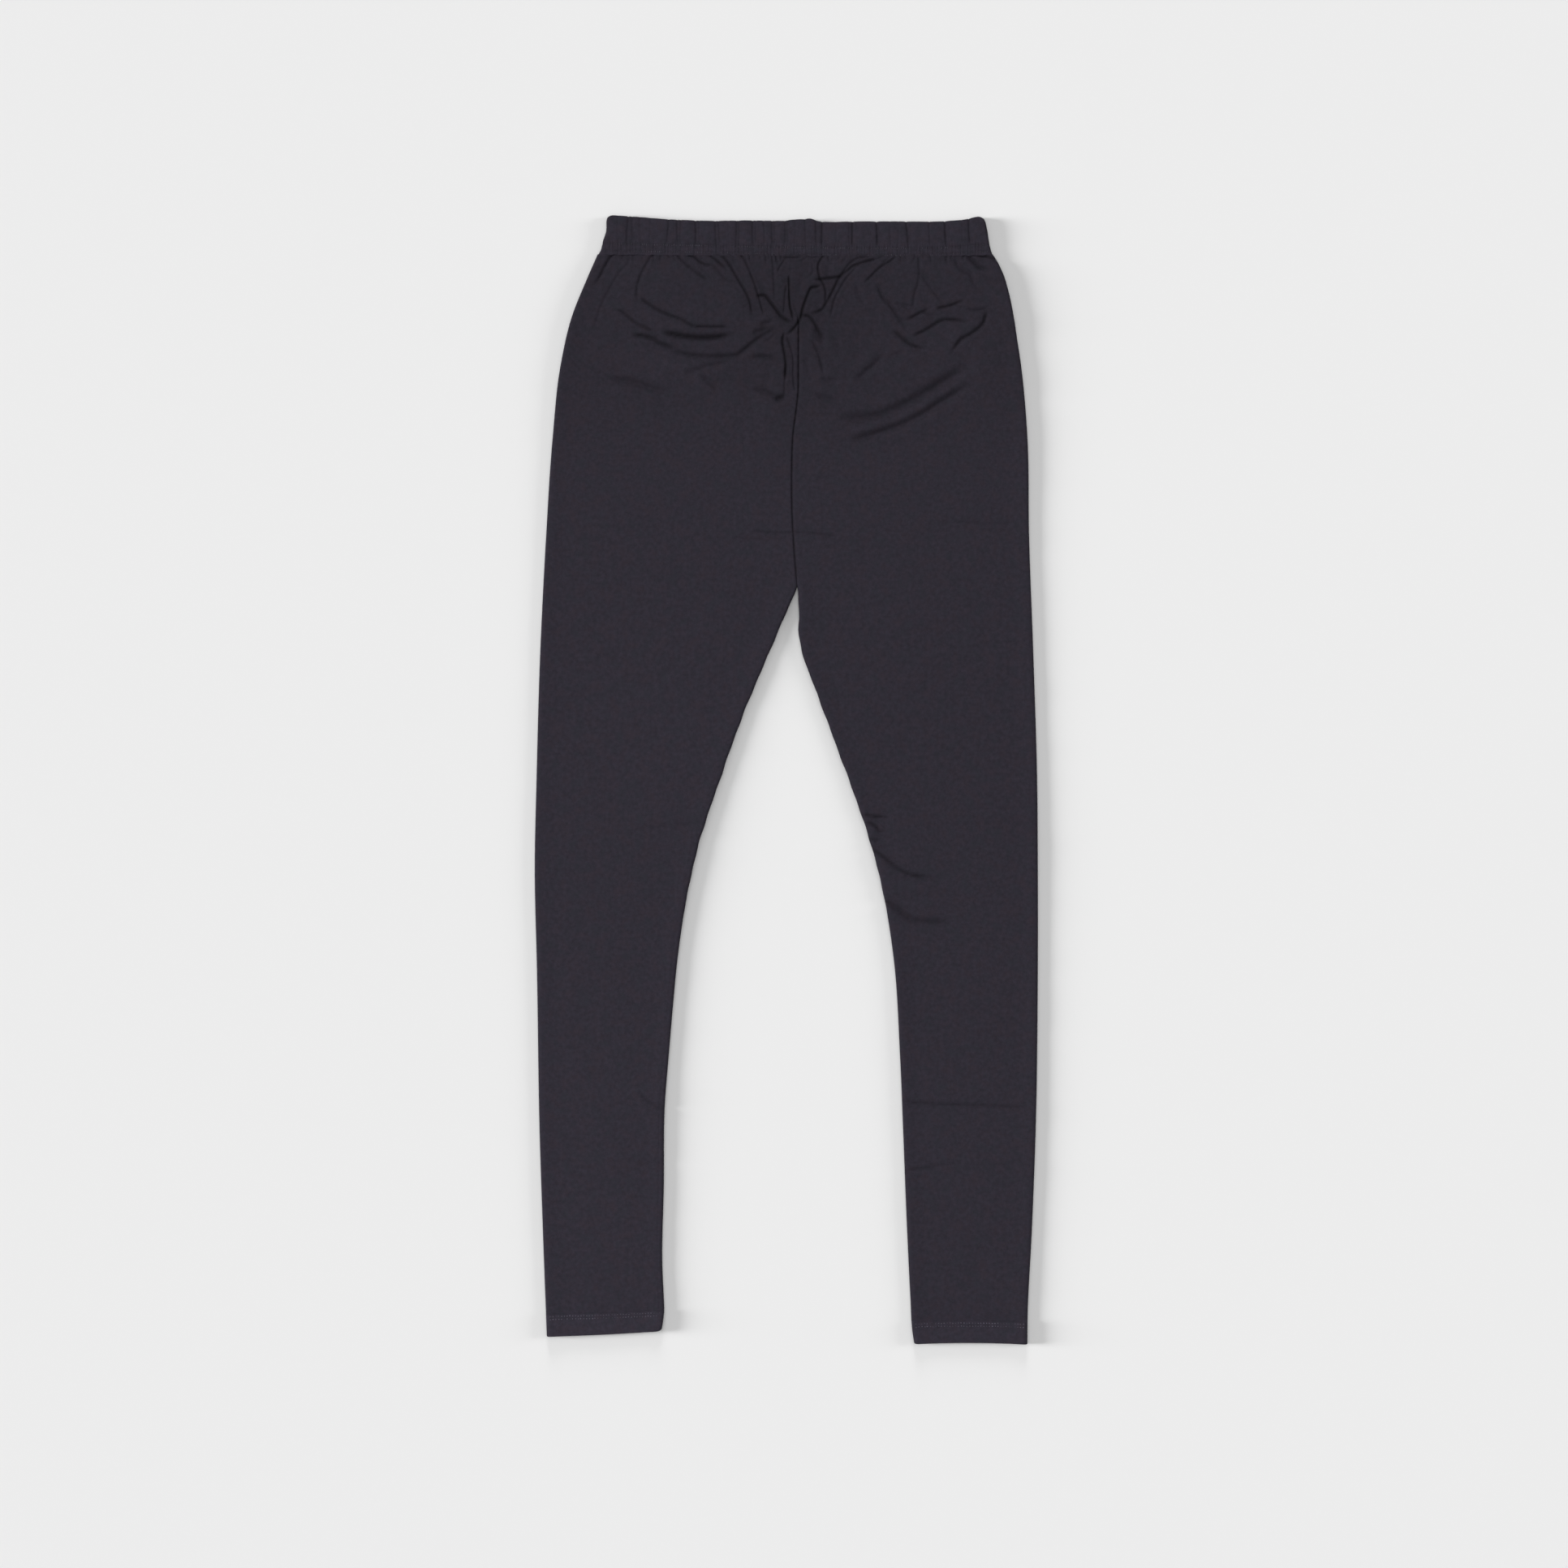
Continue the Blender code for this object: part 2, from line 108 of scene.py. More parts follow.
# y and how far the front stands above lying flat
frontLift = [
    (-525, 0.1), (-300, 0.4), (-140, 0.5), (-80, 0.9), (-20, 0.5), (177, 0.4), (250, 0.8), (310, 1.6),
    (360, 2.5), (400, 3.5), (430, 4.3), (455, 4.6), (472, 4.3), (481, 3.5), (486, 3.0), (490, 1.9),
]

rightLeg = {
    "piece": "right_leg_jersey",
    "node": "right_leg",
    "side": -1,             # its outer fold is on this side
    "outer": [
        (-518, -222.3), (-420, -226.0), (-330, -229.0), (-180, -231.5), (-80, -233.6), (0, -232.0),
        (122, -228.4), (228, -223.0), (318, -217.0), (386, -209.5), (431, -199.0), (465, -185.4),
        (490, -174.5),
    ],
    "inner": [
        (-518, -116.6), (-513.5, -115.6), (-505, -114.3), (-495, -113.4), (-484, -113.8), (-450, -115.2),
        (-376, -113.8), (-300, -112.8), (-255, -109.2), (-210, -105.4), (-165, -101.0), (-104, -91.6),
        (-59, -81.3), (0, -61.9), (62, -39.8), (122, -14.6), (152, -1.8), (167, 4.8), (175, 8.1), (181, 10.1),
    ],
    "hemOuter": -516.3,
    "hemInner": -511.3,
    "hemSag": 0.6,
    "cornerRound": 3.2,     # the hem's inner corner is rounded off
    "inseam": 3.2,          # the inseam shows this far inside the inner fold
    "inseamShows": True,
    "flat": (0.476, 1.007),     # the girth at the crotch, and the length from the waist seam to the hem
    "area": 0.338,              # less than the two multiplied, since the cut tapers to the ankle
}

leftLeg = {
    "piece": "left_leg_jersey",
    "node": "left_leg",
    "side": 1,
    "outer": [
        (-526, 223.9), (-500, 224.1), (-420, 228.0), (-330, 231.5), (-180, 233.6), (-80, 233.6), (0, 233.0),
        (122, 229.3), (228, 225.5), (318, 224.0), (350, 221.8), (386, 218.0), (410, 214.4), (431, 211.2),
        (455, 206.2), (470, 201.6), (480, 197.0), (485, 194.2), (490, 190.4),
    ],
    "inner": [
        (-526, 119.4), (-512, 117.2), (-481, 115.4), (-406, 111.8), (-330, 108.8), (-255, 105.7),
        (-165, 99.8), (-104, 90.0), (-59, 78.6), (-29, 68.8), (31, 47.0), (92, 24.3), (107, 18.6),
        (122, 14.1), (137, 11.4), (150, 11.9), (160, 11.8), (170, 11.2), (181, 10.1),
    ],
    "hemOuter": -523.5,
    "hemInner": -523.1,
    "hemSag": -1.2,         # the hem's middle lies a little higher than its corners
    "cornerRound": 1.4,
    "inseam": 6.0,
    "inseamShows": False,
    "flat": (0.476, 1.014),
    "area": 0.340,
}

# Soft swellings of the front, where trapped air lifts it: x, y, half length in x and y, height
swells = [
    (-120, 432, 42, 26, 0.5), (-60, 402, 30, 16, 0.5), (96, 410, 34, 20, 0.5), (150, 400, 30, 26, 0.4),
    (110, 331, 60, 14, 0.6), (12, 440, 20, 26, 0.6), (102, -74, 26, 20, 1.0), (122, -112, 24, 24, 0.9),
    (-125, -300, 22, 14, 0.4), (165, -306, 60, 16, 0.3), (-100, -34, 34, 18, 0.4),
]

# Creases of the front: half width, depth, points along the crease
frontCreases = [
    # the crumple where the gathers run into the front seam
    (1.3, 1.8, [(-66, 494), (-59.5, 487.6), (-53.5, 480), (-43.8, 463.4), (-36.3, 450.4), (-33, 440),
                (-32, 430)]),
    (1.1, 0.7, [(-58, 491), (-54.6, 486), (-49.2, 483.8), (-45, 477)]),
    (1.1, 0.6, [(-53, 491), (-49.2, 487), (-43, 479.5)]),
    (1.1, 1.2, [(-43, 490), (-39.5, 484.9), (-34.1, 473), (-28.8, 459), (-25.5, 448.3), (-22.8, 438.6),
                (-20.5, 430)]),
    (1.5, 2.7, [(-30, 449.5), (-26.1, 449.9), (-20.1, 449.9), (-15.8, 445), (-10.4, 438), (-4, 430),
                (5, 425), (9, 424)]),
    (1.2, 1.0, [(0.4, 462), (-1.2, 450.4), (-1.9, 440.5), (-2.8, 429)]),
    (1.1, 2.2, [(2.1, 470), (2.4, 461), (2.7, 449.4), (3.7, 439), (5, 434), (6.8, 425)]),
    (1.4, 2.5, [(33, 459), (28.4, 458), (23, 456.9), (19.7, 450.4), (15.4, 438.6), (13, 429), (7, 419.6),
                (-2, 412)]),
    (2.2, 0.8, [(35, 452), (30, 455.5), (25, 456.5), (20, 452)]),
    (1.2, 1.6, [(37, 492), (32.1, 483.8), (29.4, 477.4), (31, 466.6), (35.4, 458), (36.4, 448.3),
                (34.5, 441)]),
    (1.5, 2.4, [(24, 464.4), (32.1, 465), (39.1, 466), (48.3, 467.1), (56, 468.4)]),
    (1.4, 1.8, [(84, 484), (77.8, 482.8), (70.8, 480.6), (62, 477.5), (56.4, 473), (49.9, 468), (47.8, 464.4),
                (43.4, 454.7), (38, 445), (33.8, 438), (28, 434.6), (20, 433)]),
    (1.2, 1.2, [(82, 489), (72.9, 486), (66.5, 484.9), (60, 481), (54, 474), (49.5, 467)]),
    (1.3, 1.6, [(103, 488), (97.2, 482.8), (85.9, 475.2), (76.2, 465.5), (70, 460)]),
    (1.2, 0.6, [(99, 489), (93.4, 483.8), (85.9, 476.3)]),
    (1.2, 0.8, [(96, 489), (89.1, 486), (80.5, 482.8), (72, 481)]),
    (1.2, 1.0, [(66, 478), (61.8, 473), (55.3, 465.5), (48.8, 454.7), (44.5, 446), (42.9, 438.6), (40, 428)]),
    (1.2, 0.6, [(58, 489), (54.2, 483.8), (49.9, 478.4)]),
    (1.2, 0.5, [(52, 489), (47.8, 483.8), (43.4, 479.5)]),
    (1.4, 2.2, [(12, 432), (19.4, 430.8), (23.2, 428.4), (26.6, 423.4), (30, 417), (35.5, 406.5)]),
    (3.2, 1.9, [(24, 422), (29, 414.5), (33.5, 408), (38, 403)]),
    (1.8, 1.3, [(22, 412), (27, 403), (31, 393), (34, 380), (36, 372)]),
    (2.2, 1.5, [(30, 374.5), (36, 372.6), (43, 372), (50, 367.5)]),
    (1.3, 2.2, [(-1.6, 417), (-3.6, 408), (-1.8, 397), (-0.6, 388), (-0.9, 378), (-1.2, 370)]),
    (1.2, 0.8, [(-0.8, 386), (-1.2, 374), (-1.5, 364), (-1.4, 353)]),
    (1.1, 1.0, [(0, 413), (5, 398.6), (6.5, 388.5), (6.3, 378.5), (7.0, 368), (9, 359)]),
    (2.0, 1.7, [(-26, 423.5), (-20, 424.6), (-11, 426.8)]),
    (2.4, 2.1, [(-33, 415), (-27, 416.8), (-22, 418.8), (-15, 420.5)]),
    (1.6, 0.9, [(-8, 418.5), (-15, 410), (-25, 404)]),
    (2.3, 2.2, [(-9, 420), (-20.8, 414), (-32, 406), (-41.7, 398), (-50, 394.5), (-78, 394), (-96, 396.5),
                (-113, 400.5)]),
    (2.2, 1.8, [(-36, 391.5), (-28, 393.4), (-20, 393.6), (-12, 392), (-4, 387.5)]),
    (2.4, 1.9, [(-34, 364.5), (-24, 362.4), (-16, 359.8), (-7, 355.5), (4, 353)]),
    (2.6, 2.4, [(-12, 353.5), (-7, 355.3), (-3.5, 357), (0, 360)]),
    (2.6, 1.7, [(24, 360), (33, 356.4), (41, 354.6), (52, 350.5)]),
    (1.5, 0.9, [(-12.6, 484), (-12, 476.3), (-11.5, 465.5), (-11, 452.6), (-11, 444)]),
    (1.1, 0.9, [(-9, 470), (-6.1, 476.3), (-1.8, 482.8), (1, 487)]),
    (1.3, 0.8, [(-1, 473.6), (3.6, 474.1), (10, 474.7), (14, 474)]),
    (1.1, 1.2, [(-5, 485.4), (0.3, 485.4), (6.8, 485.3), (14.4, 486.4), (19, 488)]),
    (1.1, 0.7, [(11, 481), (15.4, 483.3), (21.9, 488.1), (25, 491)]),
    (1.1, 1.1, [(19, 486.6), (24, 486), (30, 486.2), (35, 487)]),
    (1.4, 0.6, [(24, 484), (24.6, 473), (22.4, 468.8), (15.4, 464.4), (11, 463)]),
    (1.1, 1.2, [(-11, 493), (-9.9, 487), (-8.8, 482.2), (-6.6, 478)]),
    (1.1, 0.9, [(-14, 491), (-13.1, 483.8), (-12, 478)]),
    (1.1, 1.0, [(-44, 491), (-42, 487.5), (-40.2, 483.5)]),
    (4.0, 0.8, [(-34, 476), (-24, 462), (-18, 446)]),
    (3.6, 0.7, [(-4, 480), (0, 466), (-4, 450)]),
    (3.8, 0.8, [(18, 478), (13, 464), (12, 448)]),
    (3.4, 0.7, [(44, 486), (38, 474), (42, 462)]),
    (3.6, 0.7, [(-42, 452), (-34, 438), (-22, 430)]),
    (3.2, 0.7, [(24, 446), (30, 440), (38, 430)]),
    (3.6, 0.7, [(40, 418), (48, 404), (50, 390)]),
    (3.4, 0.6, [(14, 398), (20, 384), (24, 368)]),
    (4.0, 0.6, [(-14, 386), (-20, 374), (-16, 360)]),
    # the wearer's right hip
    (1.3, 1.5, [(-158, 438.5), (-149.6, 433), (-140, 425), (-131, 420.4), (-119, 415.5)]),
    (2.0, 2.6, [(-145, 413.6), (-132, 412.6), (-123.6, 409.8), (-117, 405.8), (-107, 402), (-98, 400.6)]),
    (1.4, 1.8, [(-137, 449), (-122.6, 438.7), (-109, 432), (-97.5, 428), (-86, 421.8), (-74, 421.2),
                (-50, 421)]),
    (2.5, 4.1, [(-117, 416.5), (-99.5, 413.2), (-88, 411.6), (-74, 411.2), (-61, 412.3), (-46, 415)]),
    (3.0, 1.5, [(-99, 376), (-86, 380.5), (-73, 385), (-58, 388), (-44, 392)]),
    (3.4, 2.4, [(-170, 375), (-157, 372.6), (-144, 370.6), (-130, 366.5), (-118, 362.4), (-100, 360)]),
    (2.4, 1.7, [(-82, 376.5), (-75, 373.4), (-68.6, 368), (-60, 361)]),
    (1.6, 1.5, [(-158, 495), (-162.2, 488.1), (-168.7, 476.8), (-173, 468), (-180, 458)]),
    (1.4, 0.8, [(-144, 488), (-147.7, 479.5), (-154.7, 472), (-160.6, 462.3), (-167, 450.4), (-172, 440),
                (-180, 415)]),
    (1.5, 1.2, [(-123, 493), (-127.2, 483.8), (-133.7, 472), (-137.4, 462.3), (-138.6, 452), (-137, 440)]),
    (1.1, 1.0, [(-124, 496), (-124, 489.8), (-123.4, 484.4), (-123, 479)]),
    (1.0, 0.8, [(-113, 492), (-109.4, 487), (-104.5, 482.5)]),
    (1.1, 0.9, [(-108, 491), (-104, 485.4), (-100.5, 481)]),
    (1.3, 1.4, [(-105, 492), (-100.8, 487.1), (-93.8, 480), (-86.2, 473.6), (-76.6, 466.6), (-70, 462)]),
    (1.2, 1.9, [(-95, 489), (-88.9, 487), (-84.6, 485.4), (-80.9, 481.7), (-74.4, 478.4), (-69, 477)]),
    (1.4, 0.7, [(-84, 481), (-80.9, 478.4), (-73.3, 470.9), (-68, 465)]),
    (1.2, 1.8, [(-78, 491), (-72.2, 488.1), (-66.9, 484.4), (-59.3, 477.9), (-54, 472)]),
    (1.2, 1.0, [(-76, 479), (-66.9, 476.8), (-60.4, 469.8), (-55.7, 464.4), (-50.8, 462.3), (-46, 460)]),
    # the wearer's left hip
    (1.9, 1.6, [(82, 462), (85.9, 455.9), (90.2, 447.2), (95.6, 441.8), (103.6, 430.4), (114, 418)]),
    (1.6, 1.0, [(99, 443), (105.3, 441.6), (115, 440.2), (122, 441)]),
    (1.6, 2.1, [(98, 418), (104, 413.6), (110, 408.4), (116, 404), (125, 401.5), (132, 401.5)]),
    (1.7, 2.0, [(110, 427), (116, 429.6), (122, 432.8), (129, 436.4), (135, 439)]),
    (1.5, 1.2, [(126, 437), (131, 432.6), (140, 430.6)]),
    (1.6, 1.9, [(137, 436.6), (143.4, 438.8), (151.8, 440.6), (160.5, 444), (168, 447)]),
    (1.7, 2.2, [(116, 412), (125, 416), (135, 421.6), (141.5, 426), (150, 427.8), (160, 427), (171, 425.4)]),
    (1.8, 1.3, [(164, 437), (177, 436.4), (184, 438), (190, 442)]),
    (1.9, 2.4, [(185.5, 438), (184.5, 430), (182, 424), (175, 417.4), (168, 413), (162, 409.6), (156, 402),
                (150, 394)]),
    (1.7, 1.1, [(122, 474), (130, 463.4), (133.3, 459), (139, 451), (145.1, 444), (150, 440)]),
    (2.3, 1.4, [(154, 490), (157.5, 481.7), (161.3, 476.3), (169.9, 470.9), (173.1, 463.4), (178.5, 456.9),
                (184, 451)]),
    (2.1, 2.0, [(166, 490), (172.6, 482.8), (178.5, 477.4), (186.1, 474.1), (191, 472)]),
    (1.3, 1.7, [(176, 486.6), (183, 486.6), (188, 485.8), (193, 483.2), (197.5, 478.6)]),
    (1.0, 0.9, [(148.2, 492), (148.4, 483.8), (149, 477)]),
    (1.4, 1.0, [(122, 491), (123, 481.7), (123.4, 472), (122, 461.2), (118.7, 450.4), (117.7, 441.8),
                (115, 434)]),
    (1.0, 0.9, [(122, 492), (119.3, 486), (116.6, 480)]),
    (2.0, 1.0, [(93, 393.6), (103, 396), (113, 399.6)]),
    (3.2, 2.0, [(62, 368), (69, 376.5), (80, 386), (93, 399)]),
    (2.6, 1.0, [(66, 464), (66, 454), (70, 446), (75, 439)]),
    (5.4, 3.7, [(44, 340), (66, 337.4), (82.7, 339.6), (99, 344.9), (116, 353.4), (133, 363.8),
                (149.7, 374.4),
                (162.4, 383.4), (176.5, 393)]),
    (3.9, 2.9, [(56, 315.8), (74.3, 320.4), (91.5, 326), (108.4, 332.4), (123.3, 339.8), (138, 349.2),
                (150.5, 357.4), (164, 365.4), (177, 374)]),
    # across the seat and thighs
    (1.3, 0.95, [(-34, 232), (-10, 230), (8, 230.5), (24, 229.6), (50, 226.5)]),
    (1.3, 0.75, [(-52, 226.4), (-36, 224.5), (-14, 222)]),
    (2.0, 0.5, [(42, 221.5), (66, 222), (88, 224.5)]),
    (1.3, 0.65, [(140, 240), (176, 238.8), (214, 238)]),
    (2.2, 1.1, [(26, 281), (34, 281.3), (43, 280.6)]),
    (2.2, 0.9, [(-11, 279.3), (-3, 279.4), (6, 280.6)]),
    # the wearer's left knee and calf
    (1.6, 1.95, [(69, -54), (80.9, -63.9), (88, -68.5), (97.3, -76.3), (106.7, -83.3), (116, -87.3),
                 (124, -88.6), (133, -89.4)]),
    (2.6, 1.4, [(120, -88.5), (132, -89.8), (140, -91.2), (149, -92)]),
    (2.7, 2.45, [(82, -109), (94, -113.4), (104, -119), (111, -125), (119, -129.4), (130, -130.6),
                 (142, -131), (156, -135)]),
    (3.4, 0.7, [(98, -105), (122, -107), (146, -107)]),
    (1.4, 1.9, [(70, -31), (80, -32.8), (88, -33.4), (97, -33.4)]),
    (1.4, 1.9, [(72, -38), (79, -40), (84, -43.4), (87, -47), (93, -45)]),
    (1.5, 1.6, [(74, -52), (82, -55), (90, -54)]),
    (2.6, 0.5, [(62, 45), (84, 51.6), (121, 49)]),
    (2.6, 0.5, [(71, 34), (95, 37), (120, 32)]),
    (1.3, 0.4, [(124, -41), (180, -39), (234, -39.5)]),
    (1.5, 1.2, [(101, -297), (134, -300), (167, -301), (193, -302), (226, -303.6)]),
    (1.8, 1.0, [(101, -364), (137, -359), (167, -355)]),
    # the wearer's right knee and calf
    (2.4, 0.8, [(-144, -45), (-112, -42.5), (-70, -37.5)]),
    (1.5, 1.2, [(-138, -288), (-123, -301.5), (-105, -306)]),
    (1.8, 0.6, [(-158, -343), (-135, -354), (-105, -357)]),
]

# Small puckers where the cloth is let into the band: how they are drawn, and x, depth, length down the leg
puckerShape = {"half": 1.0, "gain": 1.3, "underBand": 0.6, "lean": 0.4}
puckers = [
    (-152, 0.4, 4), (-142.5, 0.6, 9), (-133, 0.3, 3), (-117, 0.6, 6), (-93, 0.4, 3), (-34, 0.6, 7),
    (-24, 0.4, 3), (-19.2, 0.7, 8), (-16.4, 0.4, 4), (-5, 0.6, 4), (39, 0.6, 6), (44.7, 0.3, 3), (66, 0.4, 3),
    (106, 0.6, 7), (111, 0.4, 3), (127, 0.4, 3), (134, 0.6, 8), (153, 0.4, 5), (164, 0.6, 6),
]

# Creases pressed into the back, shallow because it lies flat: similar to the front's
backCreases = [
    (3.4, 0.45, [(-150, 480), (-138, 455), (-131, 430)]),
    (3.4, 0.45, [(-60, 484), (-52, 462), (-38, 445)]),
    (3.4, 0.50, [(60, 484), (50, 460), (33, 442)]),
    (3.4, 0.40, [(140, 482), (131, 458), (134, 436)]),
    (3.6, 0.50, [(-150, 405), (-115, 396), (-70, 400)]),
    (3.6, 0.50, [(150, 398), (110, 388), (66, 394)]),
    (4.0, 0.45, [(-140, 345), (-95, 331), (-40, 336)]),
    (4.0, 0.45, [(152, 340), (100, 325), (48, 330)]),
    (3.6, 0.40, [(-150, -60), (-125, -70), (-98, -66)]),
    (3.6, 0.45, [(102, -80), (128, -92), (160, -90)]),
    (3.4, 0.35, [(120, -285), (160, -290), (205, -286)]),
    (3.4, 0.35, [(-205, -300), (-165, -304), (-128, -299)]),
]

# Painted shade, mixed into the cloth's colour: how much less light reaches the cloth where the mesh is too
# coarse to fold as closely as it does
shade = {
    "steepFrom": 0.6,       # depth over half width at which a crease starts to close on itself
    "steepGain": 0.90,
    "most": 1.0,
    "lineWidth": 0.85,      # of the dark line, in crease half widths
    "halo": 0.045,          # duller zone round a crease, for each mm of its depth
    "haloReach": 4.5,
    # painted dark line along the centre seam
    "seam": 0.72, "seamReach": 0.8,
    # painted shade over the gathered hips, growing towards the waist
    "hips": 0.12, "hipsFade": (280, 410),
    "single": 0.12, "singleFrom": (-1.5, 1.5),      # the colour is darker above the hem's top than on the doubled hem
    "underBand": 0.05, "underBandReach": 1.6,       # painted shade just under the band's lower edge
    "foldEnds": (1.0, 1.6),     # columns over which the shade ends on the outer fold
    # painted shade of broad hollows and painted light on swellings, in the colour only: x, y, half length in
    # x and y, share (less than 0 is lighter)
    "paintedShadeAndLight": [
        (8, 436, 56, 50, 0.12), (-8, 462, 18, 22, 0.05), (120, 440, 60, 40, 0.03), (0, 422, 16, 12, 0.05),
        (-38, 372, 22, 18, 0.07), (2, 338, 14, 44, 0.08), (42, 350, 22, 14, 0.06), (60, 322, 30, 16, 0.06),
        (-120, 388, 42, 18, -0.08), (-80, 428, 40, 14, -0.05), (150, 425, 45, 34, -0.06),
        (130, 396, 60, 18, -0.05), (-115, 40, 80, 80, -0.05),
    ],
}

# Columns round a leg, and its rows: y to reach (or height above the hem) and number of rows.
# Every count is a multiple of insideStep or adds up to one, because the inside is that much coarser.
legGrid = {
    "front": 208, "outerFold": 12, "back": 32, "innerFold": 8,
    "dense": [(430, 72), (345, 64), (300, 32), (270, 12), (242, 8), (222, 20), (191, 8), (181, 8), (150, 8)],
    "sparse": [(-28, 36), (-145, 62), (-285, 28), (-310, 14), (-350, 6), (-368, 12)],
    "aboveHem": [(26, 16), (16, 20), (4, 6), (0.8, 8), (0.0, 8)],
    "insideStep": 4,
    "insideWiden": (1.5, 1.7),  # a crease is wider inside, by a factor and some mm, to stay under itself
}


def easeStep(low, high, at):
    # 0 below low, 1 above high, and a smooth S between them
    t = np.clip((at - low) / (high - low), 0.0, 1.0)
    return t * t * (3 - 2 * t)


def bell(away, width):
    # 1 in the middle and falling to 0 past the width
    return np.exp(-(away / width) ** 2)


def unevenWave(at, length, drift, driftLength):
    # A sine whose waves are pushed together and apart by a longer sine
    return np.sin(at / length + drift * np.sin(at / driftLength))


def hillSum(x, y, hills):
    # Adds up round hills, each its height times a bell in x and a bell in y
    return sum(height * bell(x - hillX, halfX) * bell(y - hillY, halfY)
               for hillX, hillY, halfX, halfY, height in hills)


def cubic(t, start, end, startSlope, endSlope):
    # Cubic curve from start (t 0) to end (t 1) that leaves and arrives with the given slopes
    leave, arrive = (1 - t) ** 2, t ** 2
    return leave * ((1 + 2 * t) * start + t * startSlope) + arrive * ((3 - 2 * t) * end + (t - 1) * endSlope)


def throughTable(table, at):
    # Cubic curve through a table of two rising columns, its slopes taken from the neighbours
    knots, values = np.array(table, dtype=float).T
    slopes = np.gradient(values, knots)
    i = np.clip(np.searchsorted(knots, at) - 1, 0, len(knots) - 2)
    span = knots[i + 1] - knots[i]
    t = np.clip((at - knots[i]) / span, 0.0, 1.0)
    return cubic(t, values[i], values[i + 1], span * slopes[i], span * slopes[i + 1])


def linePoints(points, perSpan=5):
    # Points of a smooth line through the given ones: each span is a cubic with its neighbours' slopes
    knots = np.array(points, dtype=float)
    slopes = np.gradient(knots, axis=0)
    t = np.linspace(0, 1, perSpan, endpoint=False)[:, None, None]
    spans = cubic(t, knots[:-1], knots[1:], slopes[:-1], slopes[1:])
    return np.vstack([spans.transpose(1, 0, 2).reshape(-1, 2), knots[-1:]])


def creaseSum(x, y, creases, profile, widen=(1.0, 0.0), shift=0.0):
    # Adds up a profile of every crease at x, y: it depends on the distance from the crease in its half
    # widths, and fades out at both ends. Every crease can be widened by a factor and some millimetres, and
    # moved away from the light by a share of its half width.
    (inLength, inMost), (outLength, outMost) = creaseShape["fadeIn"], creaseShape["fadeOut"]
    total = np.zeros_like(x)
    for ownHalf, depth, points in creases:
        line = linePoints(points) + shift * ownHalf * np.array(creaseShape["fromLight"])
        halfWidth = ownHalf * widen[0] + widen[1]
        reach = creaseShape["reach"] * halfWidth
        low, high = line.min(axis=0) - reach, line.max(axis=0) + reach
        near = (x > low[0]) & (x < high[0]) & (y > low[1]) & (y < high[1])
        if not near.any():
            continue
        px, py = x[near][:, None], y[near][:, None]
        start, step = line[:-1], line[1:] - line[:-1]
        lengths = np.hypot(step[:, 0], step[:, 1])
        t = ((px - start[:, 0]) * step[:, 0] + (py - start[:, 1]) * step[:, 1]) / lengths ** 2
        t = np.clip(t, 0, 1)
        away = np.hypot(px - start[:, 0] - t * step[:, 0], py - start[:, 1] - t * step[:, 1])
        best = away.argmin(axis=1)
        here = np.arange(len(best))
        whole = lengths.sum()
        along = (np.cumsum(lengths)[best] - lengths[best] * (1 - t[here, best])) / whole
        strength = easeStep(0.0, min(inMost, inLength * ownHalf / whole), along)
        strength *= easeStep(0.0, min(outMost, outLength * ownHalf / whole), 1 - along)
        total[near] += strength * profile(away[here, best] / halfWidth, halfWidth, depth)
    return total


def closing(halfWidth, depth):
    # Share by which a crease closes on itself: its depth over its half width, past a limit, times a gain
    return np.clip((depth / halfWidth - shade["steepFrom"]) * shade["steepGain"], 0, shade["most"])


def troughProfile(r, halfWidth, depth):
    # Height of a crease: a narrow trough with low raised shoulders. One that closes hides part of its depth.
    high = creaseShape["shoulderHeight"]
    shown = depth * (1 - creaseShape["hiddenDepth"] * closing(halfWidth, depth))
    trough = (1 + high) * np.exp(-r ** creaseShape["sharpness"])
    return shown * (high * bell(r, creaseShape["shoulderWidth"]) - trough)


def shadeProfile(r, halfWidth, depth):
    # Share of the light that a crease keeps off: a dark line where a steep one closes on itself, in a faint
    # duller zone
    zone = shade["halo"] * depth * bell(r * halfWidth, shade["haloReach"])
    return closing(halfWidth, depth) * bell(r, shade["lineWidth"]) + zone


def puckerLines():
    # Each pucker as a crease that starts under the band, so that it is at full depth where it shows
    half, gain, under, lean = (puckerShape[key] for key in ("half", "gain", "underBand", "lean"))
    top = cloth["bandBottom"]
    return [(half, gain * depth, [(x, top + under * length), (x, top - 1), (x + lean, top - length)])
            for x, depth, length in puckers]


def softWaves(x, y):
    # Adds up the long waves, each a sine of the distance along its direction
    return sum(size * np.sin(2 * np.pi * (x * math.cos(turn) + y * math.sin(turn)) / wave + start)
               for size, wave, turn, start in longWaves)


def innerEdge(leg, y):
    # The centre seam above the crotch, and below it the inner fold, which wavers a little
    waver = sum(share * np.sin(y / wave + start) for share, wave, start in cloth["waverWaves"])
    fold = throughTable(leg["inner"], y) + cloth["waver"] * waver * easeStep(*cloth["waverStarts"], y)
    edge = np.where(y > cloth["crotch"], throughTable(centreSeam, y), fold)
    return edge - leg["side"] * cloth["seamOverlap"] / 2


def followHem(leg, y, share):
    # y of a row across the leg, from its inner corner (share 0) to its outer one (share 1): the lowest rows
    # turn to follow the hem, which is straight but for a sag in its middle
    turn = cloth["hemTurn"]
    hem = leg["hemInner"] + (leg["hemOuter"] - leg["hemInner"]) * share
    hem = hem - leg["hemSag"] * 4 * share * (1 - share)
    return np.where(y < turn, turn + (y - turn) * (hem - turn) / (leg["hemOuter"] - turn), y)


def wallThickness(leg, y):
    # The cloth doubles where the hem is turned up
    double = 1 - easeStep(-cloth["hemStep"], cloth["hemStep"], y - leg["hemOuter"] - cloth["hemDepth"])
    return cloth["wall"] + (cloth["hemWall"] - cloth["wall"]) * double


